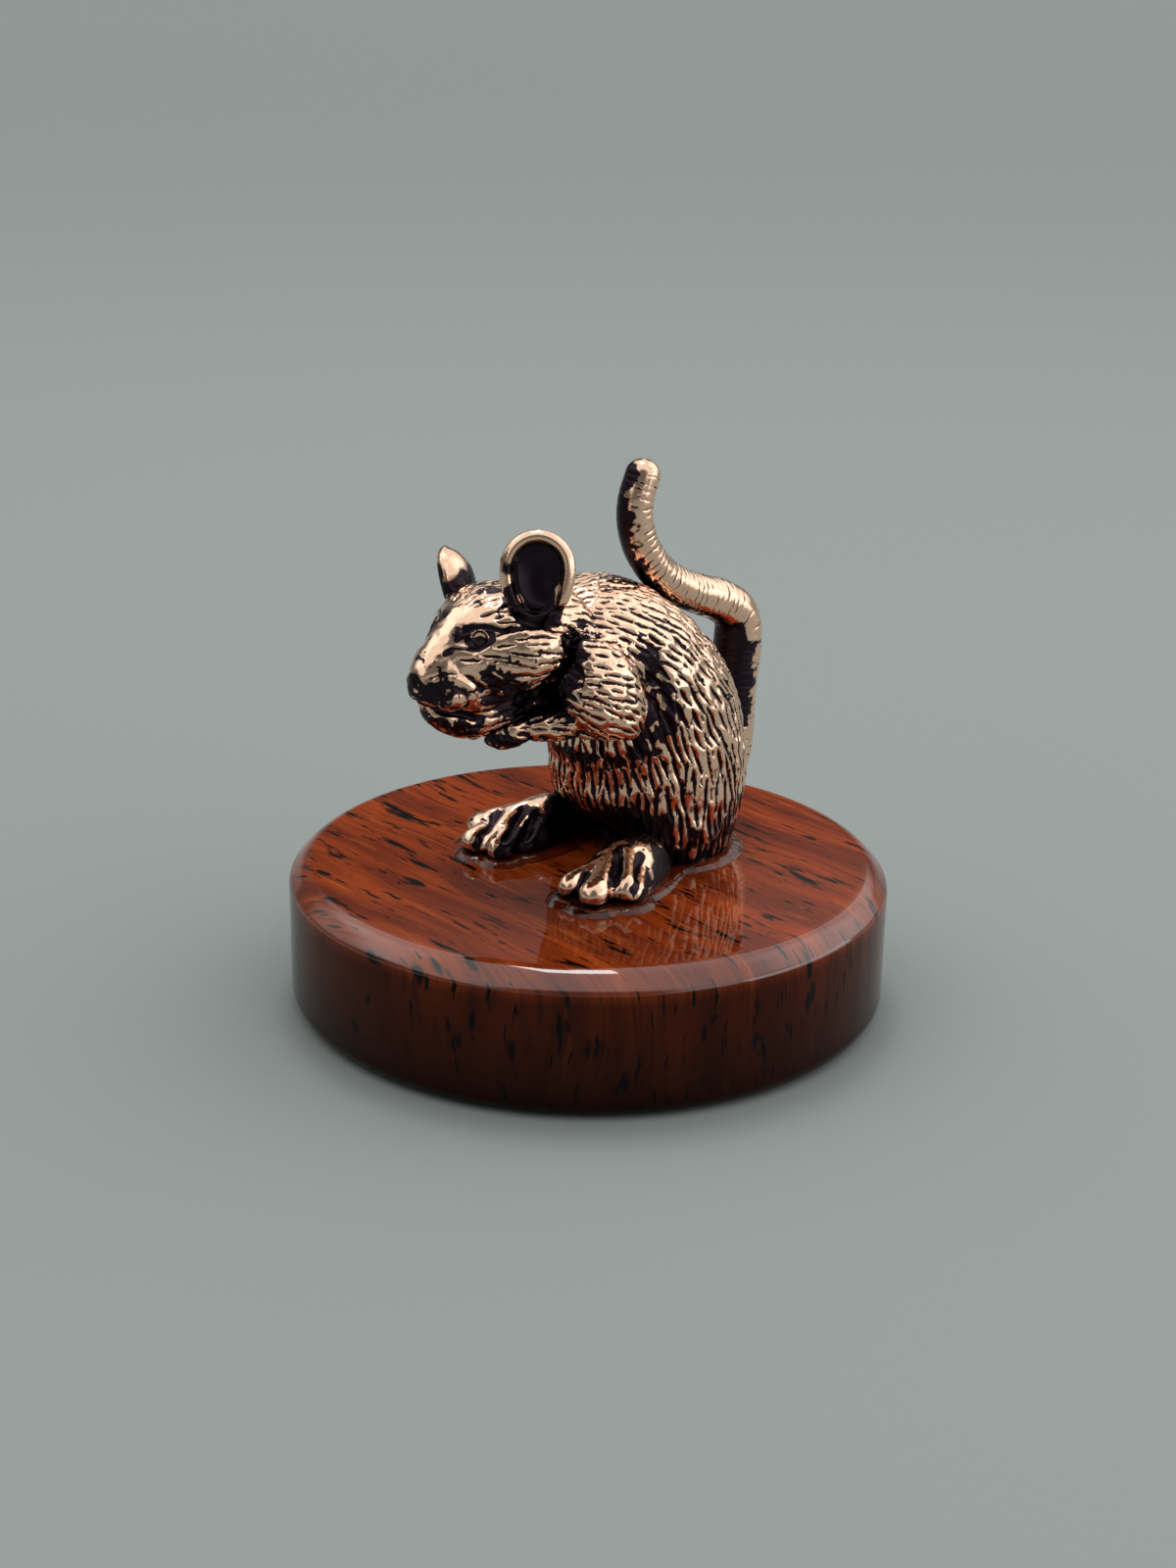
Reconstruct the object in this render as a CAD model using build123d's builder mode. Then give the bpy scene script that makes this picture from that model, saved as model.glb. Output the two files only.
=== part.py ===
from build123d import *

import os
from math import cos, radians, sin

# A cast bronze mouse sitting on a polished round stone, in millimetres, +Z up.
# The origin is the centre of the stone's underside. The mouse looks along -Y and its left is +X.
# The torso and the hind feet stand on a thin bed of adhesive, and the head, ears, forelegs and
# tail join the torso face to face.

# Stone
base_diameter = 50.0
base_height = 12.0
base_top_bevel = 1.2
base_bottom_round = 0.8

# Adhesive bed
glue_thickness = 0.25
glue_rim = 0.5
# The bed under the torso: its place in the torso's depth, and shares of the depth and of the width.
glue_bed_shares = (-0.020, 0.800, 0.900)

# Torso, a loft that rises from the seat and bends forward into the neck
torso_height = 24.3
torso_depth = 17.8
torso_width = 16.8
torso_setback = 6.4
# Each station: place in depth and height, forward tilt in degrees, share of depth and of width.
torso_station_shares = [
    (0.100, 0.000, 0, 0.560, 0.800),
    (0.065, 0.095, 0, 0.720, 0.900),
    (0.012, 0.190, 0, 0.935, 0.988),
    (0.000, 0.360, 10, 0.955, 0.990),
    (-0.105, 0.530, 28, 0.920, 0.940),
    (-0.255, 0.664, 50, 0.800, 0.870),
    (-0.470, 0.744, 72, 0.700, 0.780),
    (-0.690, 0.765, 88, 0.500, 0.580),
]
haunch_width = 6.6
haunch_depth = 10.5
haunch_height = 9.0
haunch_place_shares = (0.31, -0.01, 0.12)

# Head: a skull and a narrower jaw, both lofted from the neck forward, with whisker pads and eyes
head_length = 11.9
head_width = 12.4
head_height = 12.2
neck_place_shares = (-0.730, 0.770)
# Each station: place along the head, drop, share of height and of width.
skull_station_shares = [
    (-0.250, -0.060, 0.740, 0.830),
    (0.000, -0.090, 0.760, 0.900),
    (0.140, -0.115, 0.745, 0.970),
    (0.340, -0.126, 0.738, 1.000),
    (0.540, -0.070, 0.730, 0.770),
    (0.740, 0.000, 0.600, 0.470),
    (0.890, 0.040, 0.400, 0.300),
    (0.970, 0.050, 0.220, 0.170),
]
nose_place_shares = (1.000, 0.050)
jaw_station_shares = [
    (0.000, 0.193, 0.525, 0.645),
    (0.370, 0.284, 0.377, 0.468),
    (0.630, 0.300, 0.320, 0.371),
    (0.820, 0.251, 0.213, 0.258),
]
lip_place_shares = (0.910, 0.218)
whisker_pad_width = 2.7
whisker_pad_length = 3.8
whisker_pad_height = 2.8
whisker_pad_place_shares = (0.115, 0.755, -0.115)
eye_radius = 0.85
eye_place_shares = (0.200, 0.605, 0.236)

# Ears, egg-shaped bowls with a flat rim
ear_width = 5.9
ear_height = 7.6
ear_crown_share = 0.40
ear_depth = 2.4
ear_wall = 1.05
ear_section_count = 4
# Places in the head's width, length and height; turn outwards and lean back, in degrees.
left_ear_place_shares = (0.400, 0.305, 0.680)
left_ear_turn = 48.0
left_ear_lean = 12.0
right_ear_place_shares = (-0.540, 0.275, 0.385)
right_ear_turn = 46.0
right_ear_lean = -16.0

# Forelegs: upper arm, forearm and paw
arm_length = 10.2
arm_depth = 6.8
arm_width = 5.0
forearm_diameter = 3.2
wrist_diameter = 2.6
paw_length = 4.2
paw_width = 2.6
# Places in the head's width, length and height, because the paws are held under the chin.
shoulder_place_shares = (0.420, -0.015, 0.060)
elbow_place_shares = (0.582, -0.300, -0.379)
wrist_place_shares = (0.257, 0.164, -0.408)
paw_place_shares = (0.163, 0.329, -0.448)

# Hind feet: a wedge-shaped instep that carries the toes
foot_length = 8.0
foot_width = 5.2
foot_height = 3.1
# Heel places in the torso's width and depth; turn outwards in degrees.
left_foot_place_shares = (0.34, -0.29)
left_foot_turn = 16.0
right_foot_place_shares = (-0.34, -0.25)
right_foot_turn = -2.0
# Each station: place along the foot, share of width and of height.
foot_station_shares = [
    (-0.25, 0.50, 0.70),
    (0.00, 0.70, 0.90),
    (0.20, 0.85, 0.97),
    (0.45, 1.00, 0.93),
    (0.70, 0.95, 0.62),
    (0.86, 0.66, 0.36),
]
toe_root_diameter = 2.4
toe_tip_diameter = 1.7
toe_length = 5.4
toe_root_shares = (0.45, 0.50)
# Each toe: turn outwards from the foot in degrees, share of the toe length and of its thickness.
toe_shares = [(-38, 0.62, 0.75), (-19, 0.99, 0.90), (7, 1.05, 1.00), (36, 0.76, 1.20)]

# Tail
tail_diameter = 4.5
# Its thickness: place along the tail and share of the diameter.
tail_girth_shares = [(0.00, 1.00), (0.35, 0.97), (0.50, 0.85), (0.65, 0.73), (1.00, 0.65)]
# Points of the tail's line: place in the torso's depth and height, and lift in shares of the depth.
tail_route_shares = [
    (0.300, 0.100, 0),
    (0.505, 0.190, 0),
    (0.555, 0.480, 0),
    (0.560, 0.620, 0.164),
    (0.340, 0.620, 0.287),
    (0.040, 0.680, 0.369),
    (-0.105, 0.700, 0.573),
    (-0.070, 0.700, 0.806),
]
tail_section_count = 14

seat_z = base_height + glue_thickness
seat = Plane.XY.offset(seat_z)


def torso_place(depth_share, height_share, width_share=0):
    """A point in the torso's own proportions."""
    return Vector(
        width_share * torso_width,
        torso_setback + depth_share * torso_depth,
        seat_z + height_share * torso_height,
    )


neck = torso_place(*neck_place_shares)


def head_place(width_share, length_share, height_share):
    """A point in the head's own proportions, measured from the neck."""
    return neck + Vector(
        width_share * head_width,
        -length_share * head_length,
        height_share * head_height,
    )


def station_plane(centre, tilt):
    """A section plane whose normal leans forward from straight up by tilt degrees."""
    normal = (0, -sin(radians(tilt)), cos(radians(tilt)))
    return Plane(origin=centre, x_dir=(1, 0, 0), z_dir=normal)


def walking_plane(origin, side, turn):
    """An upright section plane that faces forward, turned outwards to its side by turn degrees."""
    across = (cos(radians(turn)), side * sin(radians(turn)), 0)
    forward = (side * sin(radians(turn)), -cos(radians(turn)), 0)
    return Plane(origin=origin, x_dir=across, z_dir=forward)


def ellipsoid(width, depth, height):
    """A unit ball stretched to the given full sizes."""
    with BuildPart() as ball:
        Sphere(1)
        scale(by=(width / 2, depth / 2, height / 2))
    return ball.part


def mirrored(part, label):
    """The right-hand copy of a left-hand piece."""
    with BuildPart() as copy:
        add(mirror(part, about=Plane.YZ))
    copy.part.label = label
    return copy.part


# Stone
with BuildPart() as stone_base:
    with BuildSketch(Plane.XZ) as stone_profile:
        Rectangle(base_diameter / 2, base_height, align=(Align.MIN, Align.MIN))
        outer_corners = stone_profile.vertices().group_by(Axis.X)[-1].sort_by(Axis.Y)
        chamfer(outer_corners[-1], base_top_bevel)
        fillet(outer_corners[0], base_bottom_round)
    revolve(axis=Axis.Z)
stone_base.part.label = "stone_base"

# Torso
haunch = ellipsoid(haunch_width, haunch_depth, haunch_height)
haunch_across_share, haunch_depth_share, haunch_height_share = haunch_place_shares
with BuildPart() as torso:
    for depth_place, height_place, tilt, depth_share, width_share in torso_station_shares:
        with BuildSketch(station_plane(torso_place(depth_place, height_place), tilt)):
            Ellipse(torso_width / 2 * width_share, torso_depth / 2 * depth_share)
    loft()
    for side in (1, -1):
        with Locations(torso_place(haunch_depth_share, haunch_height_share, side * haunch_across_share)):
            add(haunch)
    split(bisect_by=seat, keep=Keep.TOP)
torso.part.label = "torso"


# Head
def head_sections(station_shares):
    """Upright elliptical sections along the head."""
    sections = []
    for length_place, drop, height_share, width_share in station_shares:
        plane = station_plane(head_place(0, length_place, -drop), 90)
        with BuildSketch(plane, mode=Mode.PRIVATE) as section:
            Ellipse(head_width / 2 * width_share, head_height / 2 * height_share)
        sections.append(section.sketch)
    return sections


def head_tip(place_shares):
    """The point in which one of the head's lofts ends."""
    length_place, drop = place_shares
    return Vertex(*head_place(0, length_place, -drop))


def both_sides(place_shares):
    """A place on the head and its mirrored one."""
    across_share, length_share, height_share = place_shares
    return [head_place(side * across_share, length_share, height_share) for side in (1, -1)]


whisker_pad = ellipsoid(whisker_pad_width, whisker_pad_length, whisker_pad_height)
with BuildPart() as head:
    loft(head_sections(skull_station_shares) + [head_tip(nose_place_shares)])
    loft(head_sections(jaw_station_shares) + [head_tip(lip_place_shares)])
    with Locations(both_sides(whisker_pad_place_shares)):
        add(whisker_pad)
    with Locations(both_sides(eye_place_shares)):
        Sphere(eye_radius)
    add(torso.part, mode=Mode.SUBTRACT)
head.part.label = "head"

# Forelegs
upper_arm = ellipsoid(arm_width, arm_depth, arm_length)
paw_pad = ellipsoid(paw_width, paw_width, paw_length)
leg_joint_shares = [shoulder_place_shares, elbow_place_shares, wrist_place_shares, paw_place_shares]
shoulder, elbow, wrist, paw = [head_place(*shares) for shares in leg_joint_shares]
forearm_line = Plane(origin=elbow, z_dir=wrist - elbow)
with BuildPart() as left_foreleg:
    with BuildSketch(forearm_line):
        Circle(forearm_diameter / 2)
    with BuildSketch(forearm_line.offset((wrist - elbow).length)):
        Circle(wrist_diameter / 2)
    loft()
    with Locations(elbow):
        Sphere(forearm_diameter / 2)
    with Locations(wrist):
        Sphere(wrist_diameter / 2)
    with Locations(Plane(origin=(shoulder + elbow) / 2, x_dir=(1, 0, 0), z_dir=elbow - shoulder)):
        add(upper_arm)
    with Locations(Plane(origin=paw, x_dir=(1, 0, 0), z_dir=paw - wrist)):
        add(paw_pad)
    add(torso.part, mode=Mode.SUBTRACT)
    add(head.part, mode=Mode.SUBTRACT)
left_foreleg.part.label = "left_foreleg"
right_foreleg = mirrored(left_foreleg.part, "right_foreleg")


# Ears
def egg_bowl(inset):
    """A solid bowl with an egg-shaped rim, smaller all round by inset."""
    depth = ear_depth - inset
    with BuildPart() as bowl:
        sections = []
        for step in range(ear_section_count):
            angle = radians(90 * step / ear_section_count)
            half_width = (ear_width / 2 - inset) * cos(angle)
            crown = (ear_height * ear_crown_share - inset) * cos(angle)
            tip = (ear_height * (1 - ear_crown_share) - inset) * cos(angle)
            plane = Plane.XY.offset(-depth * sin(angle))
            with BuildSketch(plane, mode=Mode.PRIVATE) as section:
                with BuildLine():
                    EllipticalCenterArc((0, 0), half_width, crown, 0, arc_size=180)
                    EllipticalCenterArc((0, 0), half_width, tip, 180, arc_size=180)
                make_face()
            sections.append(section.sketch)
        loft(sections + [Vertex(0, 0, -depth)])
    return bowl.part


ear_outside = egg_bowl(0)
ear_hollow = egg_bowl(ear_wall)


def ear(side, place_shares, turn, lean, foreleg, label):
    """One ear: the bowl turned outwards to its side and leaning back, cut by what it meets."""
    level = cos(radians(lean))
    facing = (side * sin(radians(turn)) * level, -cos(radians(turn)) * level, sin(radians(lean)))
    across = (cos(radians(turn)), side * sin(radians(turn)), 0)
    place = Plane(origin=head_place(*place_shares), x_dir=across, z_dir=facing).location
    with BuildPart() as bowl:
        with Locations(place):
            add(ear_outside)
            add(ear_hollow, mode=Mode.SUBTRACT)
        for neighbour in (head.part, torso.part, foreleg):
            add(neighbour, mode=Mode.SUBTRACT)
    bowl.part.label = label
    return bowl.part


left_ear = ear(1, left_ear_place_shares, left_ear_turn, left_ear_lean, left_foreleg.part, "left_ear")
right_ear = ear(-1, right_ear_place_shares, right_ear_turn, right_ear_lean, right_foreleg, "right_ear")


# Hind feet
def heel_plane(side, place_shares, turn):
    """The upright plane at a foot's heel, facing along the foot."""
    width_share, depth_share = place_shares
    return walking_plane(torso_place(depth_share, 0, width_share), side, turn)


def hind_foot(side, place_shares, foot_turn, label):
    """One hind foot: a lofted instep with tapered toes, flat on the seat and cut by the torso."""
    heel = heel_plane(side, place_shares, foot_turn)
    along_share, rise_share = toe_root_shares
    toe_root = heel.offset(along_share * foot_length).origin + Vector(0, 0, rise_share * foot_height)
    with BuildPart() as foot:
        for place_share, width_share, height_share in foot_station_shares:
            with BuildSketch(heel.offset(place_share * foot_length)):
                Ellipse(foot_width / 2 * width_share, foot_height * height_share)
        loft()
        for turn, reach_share, thickness_share in toe_shares:
            tip_radius = thickness_share * toe_tip_diameter / 2
            reach = walking_plane(toe_root, side, foot_turn + turn).offset(reach_share * toe_length).origin
            toe_tip = Vector(reach.X, reach.Y, seat_z + tip_radius)
            toe_line = Plane(origin=toe_root, z_dir=toe_tip - toe_root)
            with BuildSketch(toe_line):
                Circle(thickness_share * toe_root_diameter / 2)
            with BuildSketch(toe_line.offset((toe_tip - toe_root).length)):
                Circle(tip_radius)
            loft()
            with Locations(toe_tip):
                Sphere(tip_radius)
        split(bisect_by=seat, keep=Keep.TOP)
        add(torso.part, mode=Mode.SUBTRACT)
    foot.part.label = label
    return foot.part


left_hind_foot = hind_foot(1, left_foot_place_shares, left_foot_turn, "left_hind_foot")
right_hind_foot = hind_foot(-1, right_foot_place_shares, right_foot_turn, "right_hind_foot")


# Tail
def tail_radius(along):
    """Half the tail's thickness at a place along it, between the two nearest girths."""
    for (start, start_share), (end, end_share) in zip(tail_girth_shares, tail_girth_shares[1:]):
        if along <= end:
            part_way = (along - start) / (end - start)
            return tail_diameter / 2 * (start_share + part_way * (end_share - start_share))


with BuildPart() as tail:
    with BuildLine(mode=Mode.PRIVATE) as route:
        Spline([
            torso_place(depth_share, height_share) + Vector(0, 0, lift_share * torso_depth)
            for depth_share, height_share, lift_share in tail_route_shares
        ])
    tail_line = route.wire()
    for step in range(tail_section_count):
        along = step / (tail_section_count - 1)
        with BuildSketch(Plane(origin=tail_line @ along, x_dir=(1, 0, 0), z_dir=tail_line % along)):
            Circle(tail_radius(along))
    loft()
    with Locations(tail_line @ 1):
        Sphere(tail_radius(1))
    add(torso.part, mode=Mode.SUBTRACT)
tail.part.label = "tail"

# Adhesive bed under the torso and the hind feet
bed_place_share, bed_depth_share, bed_width_share = glue_bed_shares
bed_centre = torso_place(bed_place_share, 0)
with BuildPart() as adhesive_bed:
    with BuildSketch(Plane.XY.offset(base_height)):
        with Locations((bed_centre.X, bed_centre.Y)):
            Ellipse(
                torso_width / 2 * bed_width_share + glue_rim,
                torso_depth / 2 * bed_depth_share + glue_rim,
            )
        for side, place_shares, turn in (
            (1, left_foot_place_shares, left_foot_turn),
            (-1, right_foot_place_shares, right_foot_turn),
        ):
            middle = heel_plane(side, place_shares, turn).offset(foot_length / 2).origin
            with Locations((middle.X, middle.Y)):
                Ellipse(foot_width / 2 + glue_rim, foot_length / 2 + glue_rim, rotation=side * turn)
    extrude(amount=glue_thickness)
adhesive_bed.part.label = "adhesive_bed"

pieces = [
    stone_base.part,
    adhesive_bed.part,
    torso.part,
    head.part,
    left_ear,
    right_ear,
    left_foreleg.part,
    right_foreleg,
    left_hind_foot,
    right_hind_foot,
    tail.part,
]

os.makedirs("parts", exist_ok=True)
for piece in pieces:
    export_step(piece, f"parts/{piece.label}.step")
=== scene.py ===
import math
from functools import partial

import bmesh
import bpy
import numpy as np
from mathutils import Matrix, Vector
from mathutils.bvhtree import BVHTree
from mathutils.kdtree import KDTree


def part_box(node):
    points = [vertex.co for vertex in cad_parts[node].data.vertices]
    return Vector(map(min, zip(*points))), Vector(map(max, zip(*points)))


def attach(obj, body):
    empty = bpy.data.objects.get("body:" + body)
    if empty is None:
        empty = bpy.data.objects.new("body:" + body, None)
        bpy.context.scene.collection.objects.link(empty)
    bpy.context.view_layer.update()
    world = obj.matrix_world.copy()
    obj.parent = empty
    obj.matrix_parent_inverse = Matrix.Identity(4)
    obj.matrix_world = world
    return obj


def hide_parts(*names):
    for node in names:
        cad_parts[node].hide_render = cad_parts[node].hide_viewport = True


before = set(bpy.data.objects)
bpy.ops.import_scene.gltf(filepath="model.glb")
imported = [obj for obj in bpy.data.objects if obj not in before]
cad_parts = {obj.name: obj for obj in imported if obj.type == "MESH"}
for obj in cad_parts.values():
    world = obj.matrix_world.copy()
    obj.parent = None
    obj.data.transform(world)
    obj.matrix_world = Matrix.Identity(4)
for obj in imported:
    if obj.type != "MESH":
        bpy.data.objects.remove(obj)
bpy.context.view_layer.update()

# Shapes are worked in millimetres and written to Blender in metres.
MM = 0.001

# The camera, fitted to the photograph's frame of 1200 by 1600 pixels.
PHOTO_WIDTH = 1200
PHOTO_HEIGHT = 1600
FOCAL_PIXELS = 2400
SENSOR_MM = 36
VIEW_TURN = math.radians(48)
VIEW_RISE = math.radians(19.6)
VIEW_ROLL = math.radians(0.99)
CAMERA_RIGHT = 0.134
CAMERA_UP = 17.24
CAMERA_BACK = 201.4
PIXELS_PER_MM = FOCAL_PIXELS / CAMERA_BACK

upright = np.array([0.0, 0.0, 1.0])
across = np.array([math.cos(VIEW_TURN), math.sin(VIEW_TURN), 0.0])
away = np.array([-math.sin(VIEW_TURN), math.cos(VIEW_TURN), 0.0])
view_back = math.sin(VIEW_RISE) * upright - math.cos(VIEW_RISE) * away
level_up = math.cos(VIEW_RISE) * upright + math.sin(VIEW_RISE) * away
view_right = math.cos(VIEW_ROLL) * across + math.sin(VIEW_ROLL) * level_up
view_up = math.cos(VIEW_ROLL) * level_up - math.sin(VIEW_ROLL) * across
lens_place = CAMERA_RIGHT * view_right + CAMERA_UP * view_up + CAMERA_BACK * view_back


def smooth_step(low, high, value):
    """0 below low, 1 above high, and a smooth rise between."""
    t = np.clip((value - low) / (high - low), 0, 1)
    return t * t * (3 - 2 * t)


def unit(vectors):
    return vectors / np.maximum(np.linalg.norm(vectors, axis=-1, keepdims=True), 1e-9)


def sight_line(pixel):
    """The direction in which the lens sees a pixel of the photograph."""
    right = (pixel[0] - PHOTO_WIDTH / 2) / FOCAL_PIXELS
    down = (pixel[1] - PHOTO_HEIGHT / 2) / FOCAL_PIXELS
    return unit(right * view_right - down * view_up - view_back)


def photo_pixels(points):
    """Where the photograph shows each point."""
    offset = points - lens_place
    depth = -offset @ view_back
    right = PHOTO_WIDTH / 2 + FOCAL_PIXELS * (offset @ view_right) / depth
    down = PHOTO_HEIGHT / 2 - FOCAL_PIXELS * (offset @ view_up) / depth
    return np.stack([right, down], 1)


NOISE_CELLS = 32
noise_table = np.random.default_rng(5).random((NOISE_CELLS,) * 3)


def mottle(points, size):
    """Soft random values from 0 to 1 whose lumps are about size millimetres across."""
    place = points / size
    low = np.floor(place).astype(int)
    t = place - low
    t = t * t * (3 - 2 * t)
    total = np.zeros(len(points))
    for corner in np.ndindex(2, 2, 2):
        share = np.prod(np.where(corner, t, 1 - t), axis=1)
        cell = (low + corner) % NOISE_CELLS
        total += share * noise_table[cell[:, 0], cell[:, 1], cell[:, 2]]
    return total


def mesh_points(mesh):
    """The places of a mesh's points, in the mesh's own unit."""
    places = np.empty(len(mesh.vertices) * 3, np.float32)
    mesh.vertices.foreach_get("co", places)
    return places.reshape(-1, 3)


def reworked(mesh, kind, **settings):
    """A mesh after one modifier. The mesh itself is removed."""
    holder = bpy.data.objects.new("rough", mesh)
    bpy.context.scene.collection.objects.link(holder)
    modifier = holder.modifiers.new("rework", kind)
    for name, value in settings.items():
        setattr(modifier, name, value)
    graph = bpy.context.evaluated_depsgraph_get()
    result = bpy.data.meshes.new_from_object(holder.evaluated_get(graph))
    bpy.data.objects.remove(holder)
    bpy.data.meshes.remove(mesh)
    return result


def evened(mesh, voxel):
    """The outer surface of a mesh as even cells, voxel millimetres wide."""
    return reworked(mesh, "REMESH", mode="VOXEL", voxel_size=voxel)


# Each carved piece is thinned to this many triangles where it has more.
MOST_TRIANGLES = 190000
# Points of a surface that lie near each other are found through cells of this width.
GRID_CELL = 1.5
# Smoothing moves the points in and then out by these shares, so that the surface doesn't shrink.
SMOOTHING_STEPS = (0.5, -0.52)
# Crests and valleys: rounds of averaging for the fine and the coarse form, and heights above or below it.
CREST_ROUNDS = (14, 40)
CREST_HEIGHTS = (0.005, 0.045)
VALLEY_DEPTHS = (0.014, 0.05)


class Skin:
    """A closed bronze surface made from copies of CAD nodes, which is then carved. In millimetres."""

    def __init__(self, nodes, voxel, plugs=()):
        solid = bmesh.new()
        for node in nodes:
            copy = bmesh.new()
            copy.from_mesh(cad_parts[node].data)
            bmesh.ops.remove_doubles(copy, verts=copy.verts, dist=1e-7)
            whole = bpy.data.meshes.new(node)
            copy.to_mesh(whole)
            solid.from_mesh(whole)
            copy.free()
            bpy.data.meshes.remove(whole)
        bmesh.ops.scale(solid, vec=(1 / MM,) * 3, verts=solid.verts)
        for centre, radius in plugs:
            place = Matrix.Translation(Vector(centre))
            bmesh.ops.create_uvsphere(solid, u_segments=32, v_segments=16, radius=radius, matrix=place)
        rough = bpy.data.meshes.new("rough")
        solid.to_mesh(rough)
        solid.free()
        self.read(evened(rough, voxel))

    def read(self, mesh):
        """Takes the points and faces from a mesh, which is then removed."""
        count = len(mesh.vertices)
        self.points = mesh_points(mesh).astype(float)
        self.edges = np.empty(len(mesh.edges) * 2, np.int32)
        mesh.edges.foreach_get("vertices", self.edges)
        self.edges = self.edges.reshape(-1, 2)
        self.faces = np.empty(len(mesh.loops), np.int32)
        mesh.loops.foreach_get("vertex_index", self.faces)
        self.faces = self.faces.reshape(-1, 4)
        self.degree = np.bincount(self.edges.ravel(), minlength=count)
        self.dark, self.cut, self.placed_patina_and_shade, self.rubbed, self.crest, self.plain = np.zeros((6, count))
        self.strokes = np.empty((0, 5))
        bpy.data.meshes.remove(mesh)
        self.refresh()

    def refresh(self):
        """Works out the normals and the grid of cells again after the points have moved."""
        corner = self.points[self.faces]
        facing = np.cross(corner[:, 2] - corner[:, 0], corner[:, 3] - corner[:, 1])
        total = np.zeros_like(self.points)
        for axis in range(3):
            for turn in range(4):
                total[:, axis] += np.bincount(self.faces[:, turn], facing[:, axis], len(self.points))
        self.normals = unit(total)
        key = np.floor(self.points / GRID_CELL).astype(int)
        self.lowest = key.min(0)
        self.span = key.max(0) - self.lowest + 1
        key -= self.lowest
        flat = (key[:, 0] * self.span[1] + key[:, 1]) * self.span[2] + key[:, 2]
        self.order = np.argsort(flat, kind="stable")
        self.starts = np.searchsorted(flat[self.order], np.arange(self.span.prod() + 1))

    def near(self, low, high):
        """The points in the box from low to high, and a few round it."""
        first = np.maximum(np.floor(np.asarray(low) / GRID_CELL).astype(int) - self.lowest, 0)
        last = np.minimum(np.floor(np.asarray(high) / GRID_CELL).astype(int) - self.lowest, self.span - 1)
        found = [np.empty(0, int)]
        for i in range(first[0], last[0] + 1):
            for j in range(first[1], last[1] + 1):
                row = (i * self.span[1] + j) * self.span[2]
                if last[2] >= first[2]:
                    found.append(self.order[self.starts[row + first[2]]:self.starts[row + last[2] + 1]])
        return np.concatenate(found)

    def averaged(self, values, rounds):
        """Values at the points, each replaced by the mean of its neighbours, several times."""
        one, other = self.edges.T
        count = len(self.points)
        for _ in range(rounds):
            columns = values.reshape(count, -1).T
            sums = [np.bincount(one, c[other], count) + np.bincount(other, c[one], count) for c in columns]
            values = (np.stack(sums, 1) / self.degree[:, None]).reshape(values.shape)
        return values

    def relax(self, rounds, share=1.0):
        """Smooths the surface without shrinking it. Share says how much, point by point."""
        weight = np.broadcast_to(share, len(self.points))[:, None]
        for _ in range(rounds):
            for step in SMOOTHING_STEPS:
                self.points += step * weight * (self.averaged(self.points, 1) - self.points)
        self.refresh()

    def melt(self, rounds, share):
        """Smooths the surface and fills its creases. Share says how much, point by point."""
        for _ in range(rounds):
            self.points += share[:, None] * (self.averaged(self.points, 1) - self.points)
        self.refresh()

    def push(self, amount):
        """Moves the points along their normals, outwards where amount is above zero."""
        self.points += self.normals * amount[:, None]
        self.refresh()

    def settle(self, tree, reach, share):
        """Draws the surface down onto another one that it meets, so that no step is left between them."""
        for index in np.flatnonzero(share > 0.01):
            place, normal, _, _ = tree.find_nearest(Vector(self.points[index]))
            height = (self.points[index] - place) @ np.array(normal)
            if 0 < height < reach:
                t = height / reach
                self.points[index] -= share[index] * (height - reach * t * t * (2 - t)) * np.array(normal)
        self.refresh()

    def thicken(self, amount, voxel):
        """Grows the surface outwards and joins it where it meets itself."""
        self.push(np.full(len(self.points), amount))
        mesh = bpy.data.meshes.new("thick")
        mesh.from_pydata(self.points.tolist(), [], self.faces.tolist())
        self.read(evened(mesh, voxel))

    def find_crests(self):
        """Marks what stands out between the cuts, and what lies low between lumps, from 0 to 1."""
        fine, coarse = CREST_ROUNDS
        relief = self.sunk(fine)
        relief -= self.averaged(relief, coarse)
        self.crest = smooth_step(*CREST_HEIGHTS, -relief)
        self.valley = smooth_step(*VALLEY_DEPTHS, relief)

    def blacken(self, amount):
        """Leaves black, for the patination and for painted shade, where amount is more than what is there
        already.
        """
        self.placed_patina_and_shade = np.maximum(self.placed_patina_and_shade, amount)

    def sunk(self, rounds):
        """How far each point lies below the surface's own average, in millimetres."""
        return np.einsum("ij,ij->i", self.averaged(self.points, rounds) - self.points, self.normals)

    def gap_to(self, node):
        """Distance of each point from a CAD node, in millimetres."""
        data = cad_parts[node].data
        faces = [polygon.vertices[:] for polygon in data.polygons]
        solid = BVHTree.FromPolygons((mesh_points(data) / MM).tolist(), faces)
        return np.array([solid.find_nearest(Vector(point))[3] for point in self.points])

    def tree(self):
        return BVHTree.FromPolygons(self.points.tolist(), self.faces.tolist())

    def piece(self, name, material, nodes, slot):
        """Writes the surface as a Blender object that stands for CAD nodes."""
        mesh = bpy.data.meshes.new(name)
        mesh.from_pydata((self.points * MM).tolist(), [], self.faces.tolist())
        mesh.polygons.foreach_set("use_smooth", np.ones(len(self.faces), bool))
        # Blackness for the material, from 0 to 1: patination in cuts and hollows, and painted shade.
        mesh.attributes.new("patina", "FLOAT", "POINT").data.foreach_set("value", self.dark)
        share = MOST_TRIANGLES / (2 * len(self.faces))
        if share < 1:
            mesh = reworked(mesh, "DECIMATE", ratio=share)
        return finish_piece(mesh, name, material, nodes)


def finish_piece(mesh, name, material, nodes):
    """Makes a mesh an object that rides on the figurine's one body and stands for CAD nodes."""
    mesh.materials.clear()
    mesh.materials.append(material)
    thing = bpy.data.objects.new(name, mesh)
    bpy.context.scene.collection.objects.link(thing)
    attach(thing, "root")
    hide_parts(*nodes)
    return thing


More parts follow.
